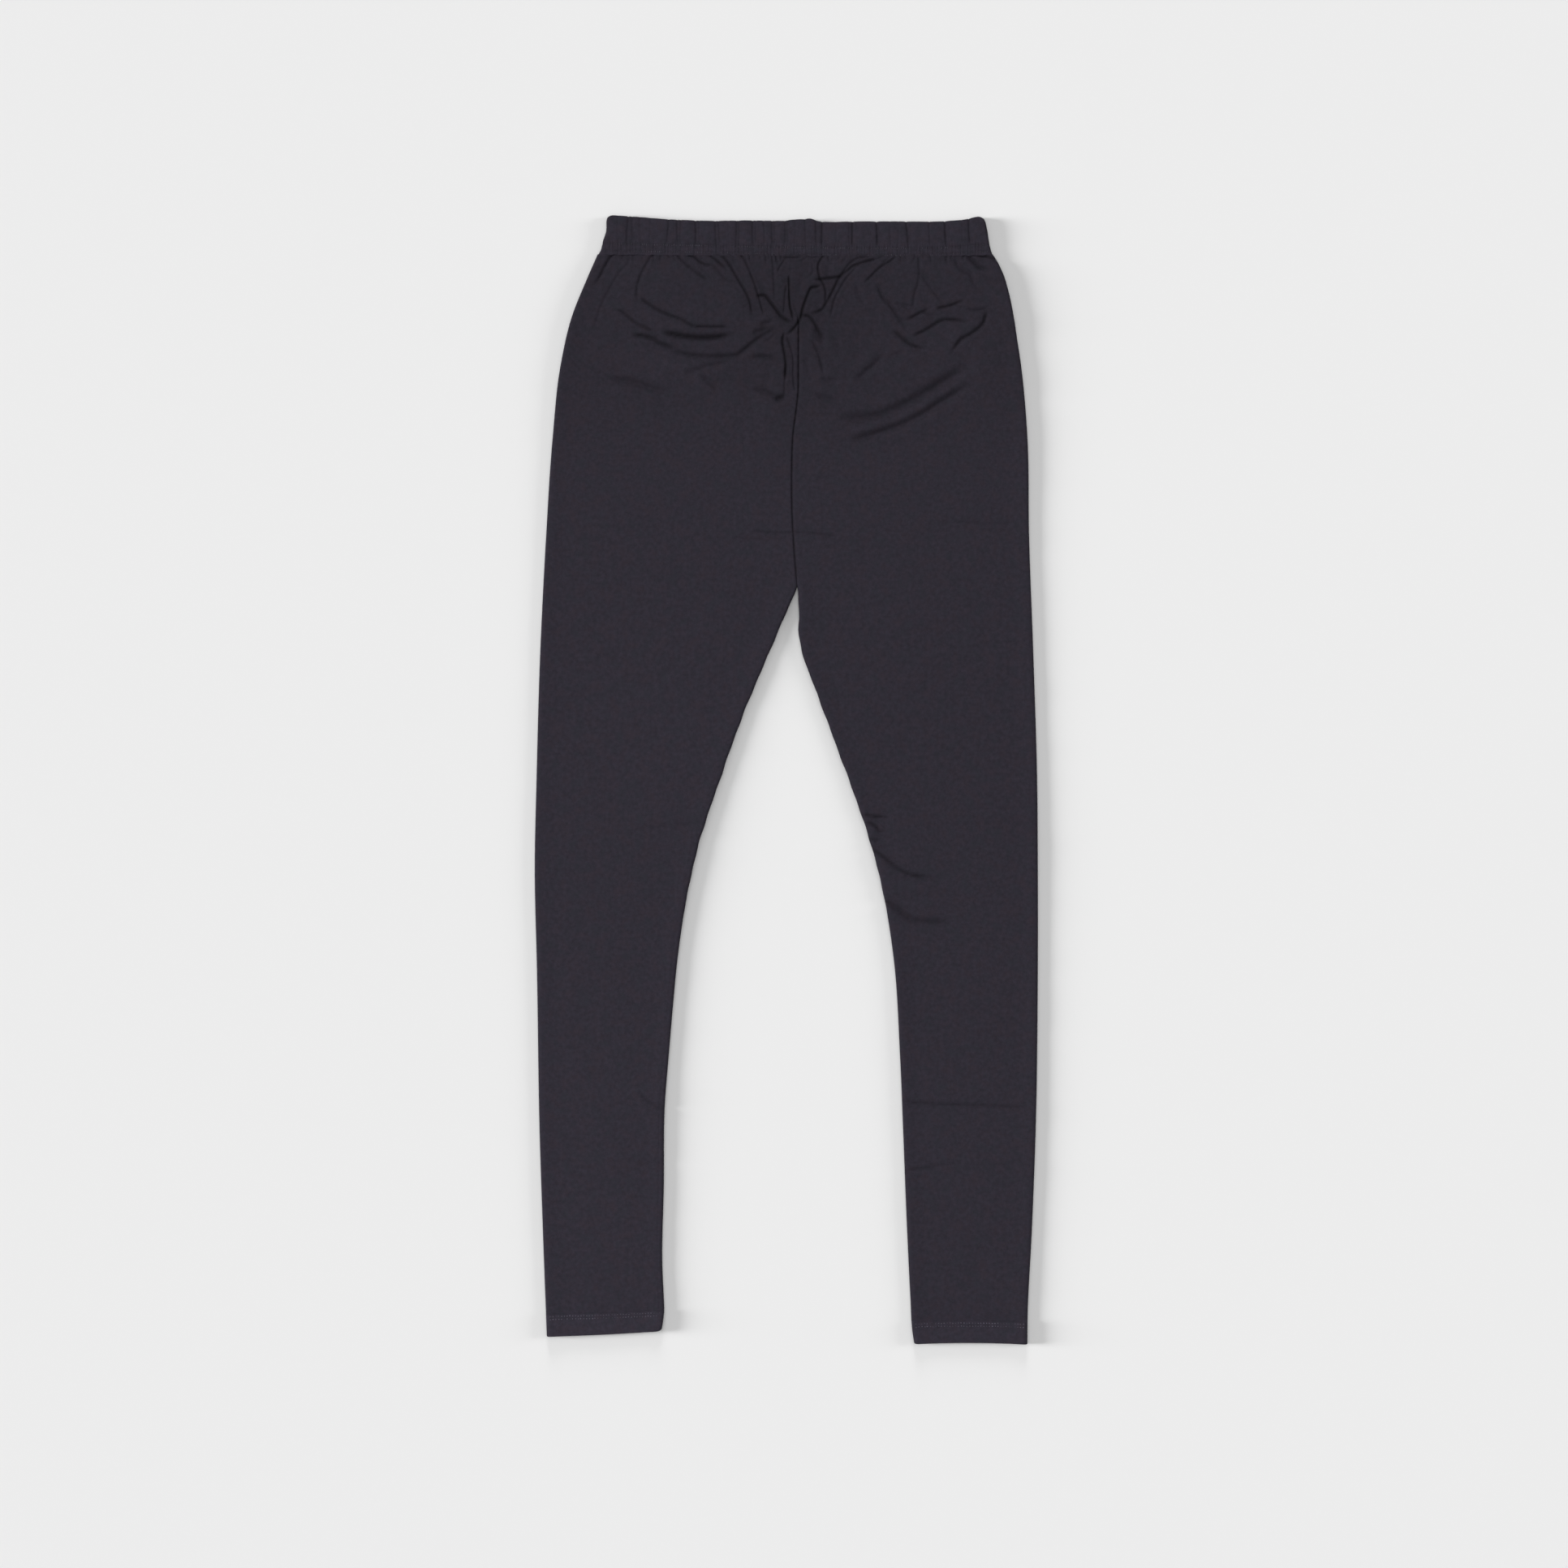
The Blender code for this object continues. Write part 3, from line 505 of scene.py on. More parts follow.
def stitchGroove(leg, y):
    # Two grooves where the hem's cover stitching pulls the cloth down
    below = leg["hemOuter"] + cloth["hemDepth"] - y
    return cloth["grooveDepth"] * sum(bell(below - row, cloth["grooveHalf"]) for row in cloth["hemRows"])


def opening(y):
    # 0 up to the crotch, growing to 1 where the inner fold has parted into two seam edges
    return np.clip((y - cloth["crotch"]) / cloth["seamOpens"], 0, 1)


def seamShows(y):
    # The seam's valley starts at the crotch and fades into the crumple below the band
    return opening(y) * (1 - seam["hidden"] * easeStep(*seam["hiddenFrom"], y))


def seamValley(leg, x, y):
    # The seam lies in a narrow valley with a soft shoulder, puckered every few millimetres, and the inseam
    # in a shallow one beside the inner fold
    fromSeam = leg["side"] * (x - innerEdge(leg, y))
    pucker = 1 + seam["pucker"] * unevenWave(y, *seam["puckerWave"])
    shoulder = seam["shoulder"] * bell(fromSeam - seam["shoulderAt"], seam["shoulderHalf"])
    valley = seamShows(y) * (seam["dip"] * pucker * bell(fromSeam, seam["dipHalf"]) - shoulder)
    if leg["inseamShows"]:
        past = leg["inseam"] + seam["inseamPast"] * (cloth["foldHalf"] + wallThickness(leg, y) / 2)
        valley = valley + seam["inseamDip"] * (1 - opening(y)) * bell(fromSeam - past, seam["inseamHalf"])
    return valley


allFrontCreases = frontCreases + puckerLines()


def frontHeight(leg, x, y, share, widen=(1.0, 0.0)):
    # Mid wall of the front layer: flat, plus the lift of the hips, the swells, the rise to each fold, the
    # waves and the creases, less the valley and the grooves, and never so low that it meets the back
    wall, side = wallThickness(leg, y), leg["side"]
    edge = cloth["foldHalf"] + wall / 2
    fromOuter = np.maximum(side * (throughTable(leg["outer"], y) - x) - edge, 0)
    fromInner = np.maximum(side * (x - innerEdge(leg, y)) - edge, 0)
    lift = throughTable(frontLift, y) * (1 - cloth["liftFalls"] * share ** 4) + hillSum(x, y, swells)
    fold = bell(fromOuter, cloth["foldReach"]) + (1 - opening(y)) * bell(fromInner, cloth["foldReach"])
    quiet = cloth["quiet"] + (1 - cloth["quiet"]) * easeStep(*cloth["quietEnds"], y)
    folded = creaseSum(x, y, allFrontCreases, troughProfile, widen, creaseShape["troughShift"])
    height = wall * 1.5 + cloth["layerGap"] + lift + cloth["foldLift"] * fold + quiet * softWaves(x, y)
    height += folded - seamValley(leg, x, y) - stitchGroove(leg, y)
    lowest, soft = wall * 1.5 + cloth["leastGap"], cloth["gapSoftness"]
    return lowest + soft * np.logaddexp(0, (height - lowest) / soft)


def backHeight(leg, x, y):
    # Mid wall of the back layer: it lies on the table, and its creases stand up off it into the hollow
    return wallThickness(leg, y) / 2 - np.minimum(creaseSum(x, y, backCreases, troughProfile), 0)


def frontShade(leg, x, y):
    # Share by which the front's colour is darkened, mostly painted shade: by its creases, by the seam, among
    # the gathers of the hips, in the painted hollows and swellings, under the band, and on the single layer
    # above the hem
    total = creaseSum(x, y, allFrontCreases, shadeProfile) + hillSum(x, y, shade["paintedShadeAndLight"])
    total += shade["seam"] * seamShows(y) * bell(x - innerEdge(leg, y), shade["seamReach"])
    total += shade["hips"] * easeStep(*shade["hipsFade"], y)
    total += shade["single"] * easeStep(*shade["singleFrom"], y - leg["hemOuter"] - cloth["hemDepth"])
    total += shade["underBand"] * bell(y - cloth["bandBottom"], shade["underBandReach"])
    return 1 - np.exp(-total)


def legColumns(stride):
    # Parameter round a leg: -0.5 to 0 inner fold, 0 to 1 front, 1 to 2 outer fold, 2 to 3 back, 3 to 3.5
    # inner fold
    pieces = [(-0.5, 0, "innerFold"), (0, 1, "front"), (1, 2, "outerFold"), (2, 3, "back"),
              (3, 3.5, "innerFold")]
    runs = [np.linspace(a, b, legGrid[name] // stride, endpoint=False) for a, b, name in pieces]
    return np.append(np.concatenate(runs), 3.5)


def legSurface(leg, u, y, facing):
    # Points of a leg's outside (facing 1) or inside (facing -1) for columns u and rows y, and the cloth's own
    # coordinates and shade there. The section is a flat loop: front, half ellipse, back, half ellipse. Above
    # the crotch the inner half ellipse flattens out into the two edges at the centre seam.
    side = leg["side"]
    u, y = np.broadcast_arrays(u[None, :], y[:, None])
    wall = wallThickness(leg, y)
    above = y - leg["hemOuter"]
    rim = 1 - np.clip(1 - above / cloth["rimLength"], 0, 1) ** 2
    offset = facing * np.sqrt(np.clip(rim, cloth["rimLeast"], 1)) * wall / 2
    # round off the hem's inner corner
    lack = np.clip(1 - above / leg["cornerRound"], 0, 1)
    cut = leg["cornerRound"] * (1 - np.sqrt(1 - cloth["cornerFill"] * lack ** 2))
    inner, outer = innerEdge(leg, y) + side * cut, throughTable(leg["outer"], y)
    edge = cloth["foldHalf"] + wall / 2
    innerMid, outerMid = inner + side * edge, outer - side * edge

    crowd = 1 + (cloth["crowding"] - 1) * easeStep(*cloth["crowdingStarts"], y)
    share = np.where(u >= 2, np.clip(3 - u, 0, 1), np.clip(u, 0, 1) ** crowd)
    past = np.where(u < 0, -2 * u, np.where(u > 3, 2 * (u - 3), 0.0))
    flatX = innerMid + (outerMid - innerMid) * share - side * edge * past
    widen = legGrid["insideWiden"] if facing < 0 else (1.0, 0.0)
    top, low = frontHeight(leg, flatX, y, share, widen), backHeight(leg, flatX, y)
    outerTop, outerLow = frontHeight(leg, outerMid, y, np.ones_like(y)), backHeight(leg, outerMid, y)
    innerTop, innerLow = frontHeight(leg, innerMid, y, np.zeros_like(y)), backHeight(leg, innerMid, y)

    onOuter, onInner = (u > 1) & (u < 2), past > 0
    turn = np.pi / 2 - np.pi * (u - 1)
    half = (outerTop - outerLow) / 2
    x = np.where(onOuter, outerMid + side * (cloth["foldHalf"] + offset) * np.cos(turn), flatX)
    z = np.where(u >= 2, low - offset, top + offset)
    z = np.where(onOuter, outerLow + half + (half + offset) * np.sin(turn), z)

    turn = np.pi / 2 * past
    half = (innerTop - innerLow) / 2
    foldX = innerMid - side * (cloth["foldHalf"] + offset) * np.sin(turn)
    foldZ = innerLow + half + np.where(u < 0, 1, -1) * (half + offset) * np.cos(turn)
    edgeZ = np.where(u < 0, top + offset, low - offset)
    x = np.where(onInner, foldX + (flatX - foldX) * opening(y), x)
    z = np.where(onInner, foldZ + (edgeZ - foldZ) * opening(y), z)
    rowY = followHem(leg, y, np.clip((x - inner) / (outer - inner), 0, 1))

    # cloth coordinates: across the front they are x itself, and they run on round the folds without a break
    foldLength = side * cloth["foldLength"]
    clothX = np.where(u >= 2, 2 * outerMid - flatX + foldLength, flatX + foldLength * np.clip(u - 1, 0, 1))
    # painted shade of the front, which ends on the outer fold
    dark = np.zeros_like(flatX)
    if facing > 0:
        seen = u < 2
        dark[seen] = frontShade(leg, flatX[seen], y[seen]) * (1 - easeStep(*shade["foldEnds"], u[seen]))
    return np.stack([x, rowY, z], axis=-1), np.stack([clothX, rowY, dark], axis=-1)


def addObject(name, data):
    # A new object in the scene that holds a mesh, a light or a camera
    added = bpy.data.objects.new(name, data)
    bpy.context.scene.collection.objects.link(added)
    return added


class Shell:
    # Collects rows of points and the faces between them. Every row keeps its own last column, and where
    # the row is a closed ring that column's points are the first column's.
    def __init__(self):
        self.points, self.clothData, self.owner, self.faces = [], [], [], {}
        self.count = 0

    def addRows(self, points, clothData, closed):
        # Numbers the points of a block of rows, and says which of them are really the first column's.
        # clothData is each point's place on the flat cloth and its shade.
        rows, columns = points.shape[:2]
        ids = self.count + np.arange(rows * columns).reshape(rows, columns)
        owner = ids.copy()
        owner[closed, -1] = ids[closed, 0]
        self.points.append(points.reshape(-1, 3))
        self.clothData.append(clothData.reshape(-1, 3))
        self.owner.append(owner.ravel())
        self.count += rows * columns
        return ids

    def addFaces(self, corners, turned=False):
        # corners is one array for each corner of the faces
        block = np.stack([c.ravel() for c in corners], axis=1)
        block = block[:, ::-1] if turned else block
        self.faces.setdefault(block.shape[1], []).append(block)

    def joinRows(self, first, second, turned=False):
        # Faces between two rows, each with one side on the coarser row and one or more on the finer one
        if first.shape[-1] < second.shape[-1]:
            self.joinRows(second, first, not turned)
            return
        step = (first.shape[-1] - 1) // (second.shape[-1] - 1)
        last = first.shape[-1] - 1
        fine = [first[..., k:last - step + k + 1:step] for k in range(step + 1)]
        self.addFaces(fine + [second[..., 1:], second[..., :-1]], turned)

    def makeObject(self, name, material, smoothAngle=50):
        # Puts the arrays into a mesh, in metres, with the cloth coordinates as its UV map and the shade as an
        # attribute
        points = np.vstack(self.points)
        clothData = np.vstack(self.clothData)
        owner = np.concatenate(self.owner)
        used, compact = np.unique(owner, return_inverse=True)
        faces, corners = [], []
        for blocks in self.faces.values():
            block = np.vstack(blocks)
            faces += compact[block].tolist()
            corners.append(clothData[block.ravel(), :2])
        mesh = bpy.data.meshes.new(name)
        mesh.from_pydata((points[used] * mm).tolist(), [], faces)
        uv = mesh.uv_layers.new(name="clothUV")
        uv.data.foreach_set("uv", (np.vstack(corners) * mm).ravel())
        mesh.attributes.new("creaseShade", "FLOAT", "POINT").data.foreach_set("value", clothData[used, 2])
        mesh.materials.append(material)
        mesh.shade_smooth()
        mesh.set_sharp_from_angle(angle=math.radians(smoothAngle))
        mesh.validate()
        return addObject(name, mesh)


def legRows(leg):
    # Row heights of the dense part (to just below the crotch) and of the sparse part below it
    dense = [np.array([cloth["bandBottom"] + cloth["topTuck"]])]
    for target, count in legGrid["dense"]:
        dense.append(np.linspace(dense[-1][-1], target, count + 1)[1:])
    sparse = []
    last = dense[-1][-1]
    targets = legGrid["sparse"] + [(leg["hemOuter"] + above, count) for above, count in legGrid["aboveHem"]]
    for target, count in targets:
        sparse.append(np.linspace(last, target, count + 1)[1:])
        last = target
    return np.concatenate(dense), np.concatenate(sparse)


def makeLeg(leg, material):
    # Outside and inside of the cloth from the same function, then the rims that close it: waist, hem and
    # seam edges
    shell = Shell()
    dense, sparse = legRows(leg)
    flip = leg["side"] > 0
    coarse = legGrid["insideStep"]
    belowCrotch = cloth["crotch"] + 1e-6
    grids = []
    # facing, every which row, and every which column of the dense and the sparse rows
    for facing, stride, steps in ((1, 1, (1, 2)), (-1, coarse, (coarse, coarse))):
        turned = flip if facing > 0 else not flip
        blocks = []
        for rows, step in ((dense[::stride], steps[0]), (sparse[stride - 1::stride], steps[1])):
            points, clothData = legSurface(leg, legColumns(step), rows, facing)
            ids = shell.addRows(points, clothData, rows <= belowCrotch)
            shell.joinRows(ids[:-1], ids[1:], turned)
            blocks.append(ids)
        shell.joinRows(blocks[0][-1], blocks[1][0], turned)
        grids.append(blocks)
    outside, inside = grids
    shell.joinRows(outside[0][0], inside[0][0], not flip)
    shell.joinRows(outside[1][-1], inside[1][-1], flip)
    seamRows = int(np.sum(dense > belowCrotch))
    for column, turned in ((0, flip), (-1, not flip)):
        edge = outside[0][:seamRows + 1, column]
        shell.joinRows(edge, inside[0][:seamRows // coarse + 1, column], turned)
    return shell.makeObject(leg["piece"], material)


# The waistband: a casing folded over its elastic and gathered
band = {
    "piece": "waistband_jersey",
    "node": "waistband",
    "wall": 2.3,            # casing, elastic and casing
    "rise": 3.2,            # back layer to front layer, mid wall to mid wall
    "foldHalf": 2.0,
    # x and y of the lower edge
    "bottom": [
        (-176, 487.6), (-150, 487.4), (-100, 487.0), (-50, 486.8), (0, 486.5), (60, 486.2), (110, 486.0),
        (150, 486.3), (192, 487.4),
    ],
    # x and y of the top edge
    "top": [
        (-176, 524.6), (-160, 524.5), (-141, 523.3), (-112, 521.0), (-90, 520.0), (-76, 519.5), (-33, 519.8),
        (-10, 519.5), (-2, 519.5), (4, 520.3), (12, 520.9), (17, 521.0), (21, 521.6), (25, 520.9),
        (29, 519.4), (36, 518.6), (60, 518.8), (99, 518.9), (150, 519.3), (166, 520.8), (176, 523.0),
        (186, 523.8), (192, 523.8),
    ],
    # share of the height, x of the left end, x of the right end
    "ends": [
        (0.0, -174.8, 191.8), (0.08, -173.2, 190.8), (0.18, -171.6, 189.6), (0.35, -170.3, 188.3),
        (0.5, -168.4, 187.4), (0.6, -167.2, 186.9), (0.7, -166.9, 186.2), (0.85, -167.0, 185.0),
        (0.94, -166.3, 183.6), (1.0, -163.8, 181.0),
    ],
    "stitchRows": [1.7, 8.0],   # height of the two rows of cover stitching above the band's lower edge
    # x, and how much higher than that the rows run there
    "rowLift": [
        (-176, 3.2), (-150, 2.2), (-110, 1.8), (-60, 1.2), (-20, 0.3), (40, -0.2), (120, -0.2), (150, 0.2),
        (170, 1.4), (192, 1.6),
    ],
    "columns": 560, "foldColumns": 14, "outsideRows": 34, "insideRows": 8, "crownRows": 7,
    # share of the height and of half the wall where the lower edge rounds out, and where it rounds in again
    "lip": [(0.0, 0.4), (0.004, 0.68), (0.012, 0.88), (0.028, 1.0)],
    "innerLip": [(0.028, -1.0), (0.012, -0.85), (0.003, -0.55)],
    "walls": (0.045, 0.93),         # the straight part of the height
    "crown": (0.955, 0.045, 0.25),  # middle and height of the rounded top, and its start in radians
    "shade": 0.30, "shadeFrom": 0.1, "shadeMost": 1.2,      # painted shade: light kept off for each mm of a gather's depth
    "rowShade": 0.10, "rowShadeReach": 1.2,                 # and along the stitching
    "rowDepth": 0.42, "rowReach": 0.9,                      # the stitching pulls the casing in
    "swell": 0.28, "swellFrom": 0.3,                        # and it swells above that
    "onEndFolds": 0.4,              # share of these at the end folds
    "backDepth": 0.55,              # share of the back's gathers, which lie pressed
    "ripple": 0.5, "rippleFrom": 0.15,                      # the top edge dips at each gather
    "sway": (0.225, 2.3, 2.0, 9.0),     # of the lower edge: size, and an uneven wave
    "shortSway": (0.18, 1.1, 1.5),      # size, length over 2 pi, start
    "flat": (0.86, 0.0355),     # the half of the folded strip that shows
    "clothHeight": 36, "insideFrom": 40,    # cloth coordinates up the casing, and those of its inside
    # gathers: x, depth, how much further right its lower end is
    "frontGathers": [
        (-156.5, 0.25, -0.8), (-147.4, 0.95, -1.2), (-142.9, 0.6, 0.6), (-135.5, 0.35, 0.5),
        (-126.5, 0.3, -0.5), (-110.0, 0.75, -3.0), (-100.9, 0.7, 0.5), (-98.0, 0.45, 0.2), (-84.0, 1.0, 0.3),
        (-80.8, 0.3, 0.2), (-65.3, 0.8, 2.4), (-62.3, 0.5, 1.0), (-53.4, 0.25, 0.3), (-46.1, 0.75, 0.3),
        (-43.9, 0.5, -0.2), (-31.0, 0.85, 0.2), (-28.4, 0.45, -0.3), (-20.5, 0.55, 0.2), (-13.0, 0.7, 0.3),
        (-10.8, 0.4, 0.6), (-1.0, 0.6, -0.3), (1.3, 0.4, 0.4), (8.4, 0.3, 0.0), (17.6, 0.55, 0.6),
        (27.8, 0.8, 0.3), (33.2, 1.2, 0.3), (46.2, 0.3, 0.0), (58.6, 0.4, 0.0), (61.4, 1.05, 0.4),
        (84.2, 1.2, 1.0), (96.6, 0.4, 0.6), (104.2, 0.3, 1.0), (112.4, 1.1, 2.6), (133.0, 0.65, 0.4),
        (147.8, 1.15, 2.6), (163.0, 0.35, 0.5), (169.9, 1.05, 1.2),
    ],
    "backGathers": [
        (-159, 0.5), (-147, 0.4), (-135, 0.6), (-121, 0.4), (-112, 0.5), (-98, 0.5), (-89, 0.4), (-73, 0.6),
        (-60, 0.5), (-49, 0.4), (-40, 0.6), (-24, 0.5), (-13, 0.5), (2, 0.6), (13, 0.4), (25, 0.5), (41, 0.6),
        (52, 0.4), (66, 0.5), (77, 0.6), (93, 0.4), (104, 0.5), (119, 0.5), (131, 0.6), (142, 0.4),
        (157, 0.5), (169, 0.5),
    ],
}

# How a gather is drawn: shares of its depth, and heights as shares of the band's
gatherShape = {
    "line": 0.9, "lineHalf": 0.75, "lineSharpness": 1.4,
    "hollow": 0.3, "hollowHalf": 4.2,
    "atHem": 0.12, "grows": (0.24, 0.42),       # little of it is left below the stitching
    "pivot": 0.6,                               # it leans about this height
    "wander": (0.25, 6, 2.1),                   # how far it wanders, waves up it, shift to the next one
    "pucker": 0.12, "puckerStarts": (0.0, 0.05), "puckerEnds": (0.25, 0.36),
    "puckerAbove": 0.5, "puckerAt": 0.30, "puckerHalf": 0.1,
    "puckerWaves": [(1.0, 0.40, 1.7, 5.3), (0.8, 0.62, 2.0, 9.1)],
}


def bandAcross(across, up):
    # x at a share of the way from the left end to the right one, and at a share of the height
    heights, lefts, rights = np.array(band["ends"]).T
    edge = band["foldHalf"] + band["wall"] / 2
    left = np.interp(up, heights, lefts) + edge
    right = np.interp(up, heights, rights) - edge
    return left + (right - left) * across


def bandEdges(x):
    # y of the lower edge and the height of the band above it
    bottom = throughTable(band["bottom"], x)
    return bottom, throughTable(band["top"], x) - bottom


def nearRows(x, above, width):
    # 1 on either row of stitching and falling to 0 over this width, at a height above the lower edge
    lift = throughTable(band["rowLift"], x)
    return sum(bell(above - row - lift, width) for row in band["stitchRows"])


def bandDent(x, up, gathers):
    # How far the casing is drawn in at x and at a share of its height: a sharp line at each gather with a
    # broad hollow round it, deepest above the stitching, and fine puckers between the stitch rows
    g = gatherShape
    far, waves, shift = g["wander"]
    dent = np.zeros_like(x)
    for i, (gatherX, depth, *lean) in enumerate(gathers):
        lineX = gatherX + sum(lean) * (g["pivot"] - up) + far * np.sin(waves * up + shift * i)
        away = np.abs(x - lineX)
        line = g["line"] * np.exp(-(away / g["lineHalf"]) ** g["lineSharpness"])
        dent += depth * (line + g["hollow"] * bell(away, g["hollowHalf"]))
    dent *= g["atHem"] + (1 - g["atHem"]) * easeStep(*g["grows"], up)
    puckered = easeStep(*g["puckerStarts"], up) * (1 - easeStep(*g["puckerEnds"], up))
    puckered = puckered + g["puckerAbove"] * bell(up - g["puckerAt"], g["puckerHalf"])
    uneven = sum(share * unevenWave(x, *wave) for share, *wave in g["puckerWaves"])
    return dent + g["pucker"] * puckered * (1 + uneven)


def bandPoint(across, angle, up, out, isFront):
    # A point of the casing: across is the share of the way from the left end to the right one, angle the
    # turn round an end fold, up the share of the height and out the share of half the wall
    nominalX = bandAcross(across, up)
    frontDent = bandDent(nominalX, up, band["frontGathers"])
    backDent = bandDent(nominalX, up, band["backGathers"])
    flatPart = np.abs(np.sin(angle)) ** 6
    bottom, height = bandEdges(nominalX)
    dent = np.where(isFront, frontDent, band["backDepth"] * backDent) * flatPart
    pulled = band["rowDepth"] * nearRows(nominalX, up * height, band["rowReach"])
    swell = band["swell"] * np.sin(np.pi * np.clip((up - band["swellFrom"]) / (1 - band["swellFrom"]), 0, 1))
    ends = band["onEndFolds"] + (1 - band["onEndFolds"]) * flatPart
    dent = dent + np.maximum(pulled - swell, -band["swell"] * isFront) * ends
    offset = out * band["wall"] / 2 - dent * np.clip(out, 0, 1)
    half = band["rise"] / 2
    x = nominalX + (band["foldHalf"] + offset) * np.cos(angle)
    z = band["wall"] / 2 + half + (half + offset) * np.sin(angle)
    ripple = band["ripple"] * (np.where(isFront, frontDent, backDent) - band["rippleFrom"]) * up ** 6
    (size, *wave), (shortSize, length, start) = band["sway"], band["shortSway"]
    sway = size * unevenWave(nominalX, *wave) + shortSize * np.sin(nominalX / length + start)
    sway *= (1 - np.clip(4 * up, 0, 1)) ** 2
    return np.stack([x, bottom + height * up + (sway - ripple) * flatPart, z], axis=-1)


def makeBand(material):
    # Profile of the casing's section carried round the flattened ring, as one closed grid
    n, m = band["columns"], band["foldColumns"]
    along, fold = np.arange(n) / n, np.linspace(0, np.pi, m, endpoint=False)
    across = np.concatenate([along, np.ones(m), 1 - along, np.zeros(m), [0.0]])[None, :]
    quarter = np.full(n, np.pi / 2)
    angle = np.concatenate([quarter, np.pi / 2 - fold, -quarter, -np.pi / 2 - fold, [-1.5 * np.pi]])[None, :]
    isFront = np.concatenate([np.ones(n + m // 2), np.zeros(n + m), np.ones(m - m // 2 + 1)])[None, :] > 0

    low, high = band["walls"]
    middle, crownHeight, crownStart = band["crown"]
    outer = np.column_stack([np.linspace(low, high, band["outsideRows"]), np.ones(band["outsideRows"])])
    inner = np.column_stack([np.linspace(high, low, band["insideRows"]), -np.ones(band["insideRows"])])
    turn = np.linspace(crownStart, np.pi - crownStart, band["crownRows"])
    crown = np.column_stack([middle + crownHeight * np.sin(turn), np.cos(turn)])
    profile = np.vstack([band["lip"], outer, crown, inner, band["innerLip"], band["lip"][:1]])
    up, out = profile[:, :1], profile[:, 1:]
    points = bandPoint(across, angle, up, out, isFront)

    # cloth coordinates: the length along a row of the outside, and the height, with the inside further on
    steps = np.diff(points[band["outsideRows"] // 2 + 3][:, [0, 2]], axis=0)
    length = np.append(0, np.cumsum(np.hypot(*steps.T)))[None, :]
    # painted shade in the gathers and along the stitching, on the front's outside only
    nominalX = bandAcross(across, up)
    dent = bandDent(nominalX, up + 0 * nominalX, band["frontGathers"]) - band["shadeFrom"]
    rows = nearRows(nominalX, up * bandEdges(nominalX)[1], band["rowShadeReach"])
    dark = band["shade"] * np.clip(dent, 0, band["shadeMost"]) + band["rowShade"] * rows
    dark = np.where(isFront & (out > 0), dark, 0)
    clothUp = band["clothHeight"] * up + band["insideFrom"] * (out < 0)
    shell = Shell()
    clothData = np.stack(np.broadcast_arrays(length, clothUp, dark), axis=-1)
    ids = shell.addRows(points, clothData, np.ones(len(profile), dtype=bool))
    owner = shell.owner[0].reshape(ids.shape)
    owner[-1] = owner[0]
    shell.joinRows(ids[:-1], ids[1:])
    return shell.makeObject(band["piece"], material, smoothAngle=70)


# Cover stitching: two rows on the band and on each hem, on the front and on the back. On the gathered band
# the stitches are crowded and their loops stand upright, and on the hems they lie along the row.
stitching = {
    "sides": 6,
    # rings of one stitch: share of the length, share of the width, height
    "rings": [(-0.5, 0.45, -0.20), (-0.22, 1.0, 0.0), (0.22, 1.0, 0.0), (0.5, 0.45, -0.20)],
    "thread": 0.15,             # its half thickness
    "seed": 11,
    "astray": (0.16, 0.18),     # how far stitches stray along x and y
    "slant": 0.12,
    "sizes": (0.75, 1.15),
    "driftWaves": [(17, 1.0), (7.3, 2.0)], "drift": 0.6, "deepest": 0.4,    # they sink deeper in places
    "endGap": 4.0,              # a hem's rows stop this far from its edges
    "above": 0.10, "bandAbove": 0.12, "below": 0.16,    # how far they stand off the front and the back
    # pitch, length and width in mm, how far they sink in the cloth on average and how unevenly. The real
    # pitch is about 1.8 mm, too fine to show.
    "hem": {"pitch": 2.5, "length": 1.35, "width": 1.0, "upright": False, "sunk": 0.03, "uneven": 0.07},
    "band": {"pitch": 2.0, "length": 2.3, "width": 1.05, "upright": True, "sunk": 0.08, "uneven": 0.13},
}


def stitchTemplate(style):
    # One stitch: a thread of four rings that thins and dips at both ends
    turn = np.linspace(0, 2 * np.pi, stitching["sides"], endpoint=False)
    along, size, drop = np.array(stitching["rings"]).T[:, :, None]
    x = along * style["length"] + 0 * turn
    y = size * style["width"] / 2 * np.cos(turn)
    z = size * stitching["thread"] * np.sin(turn) + drop
    flat = (-y, x) if style["upright"] else (x, y)
    return np.stack([*flat, z], axis=-1).reshape(-1, 3)


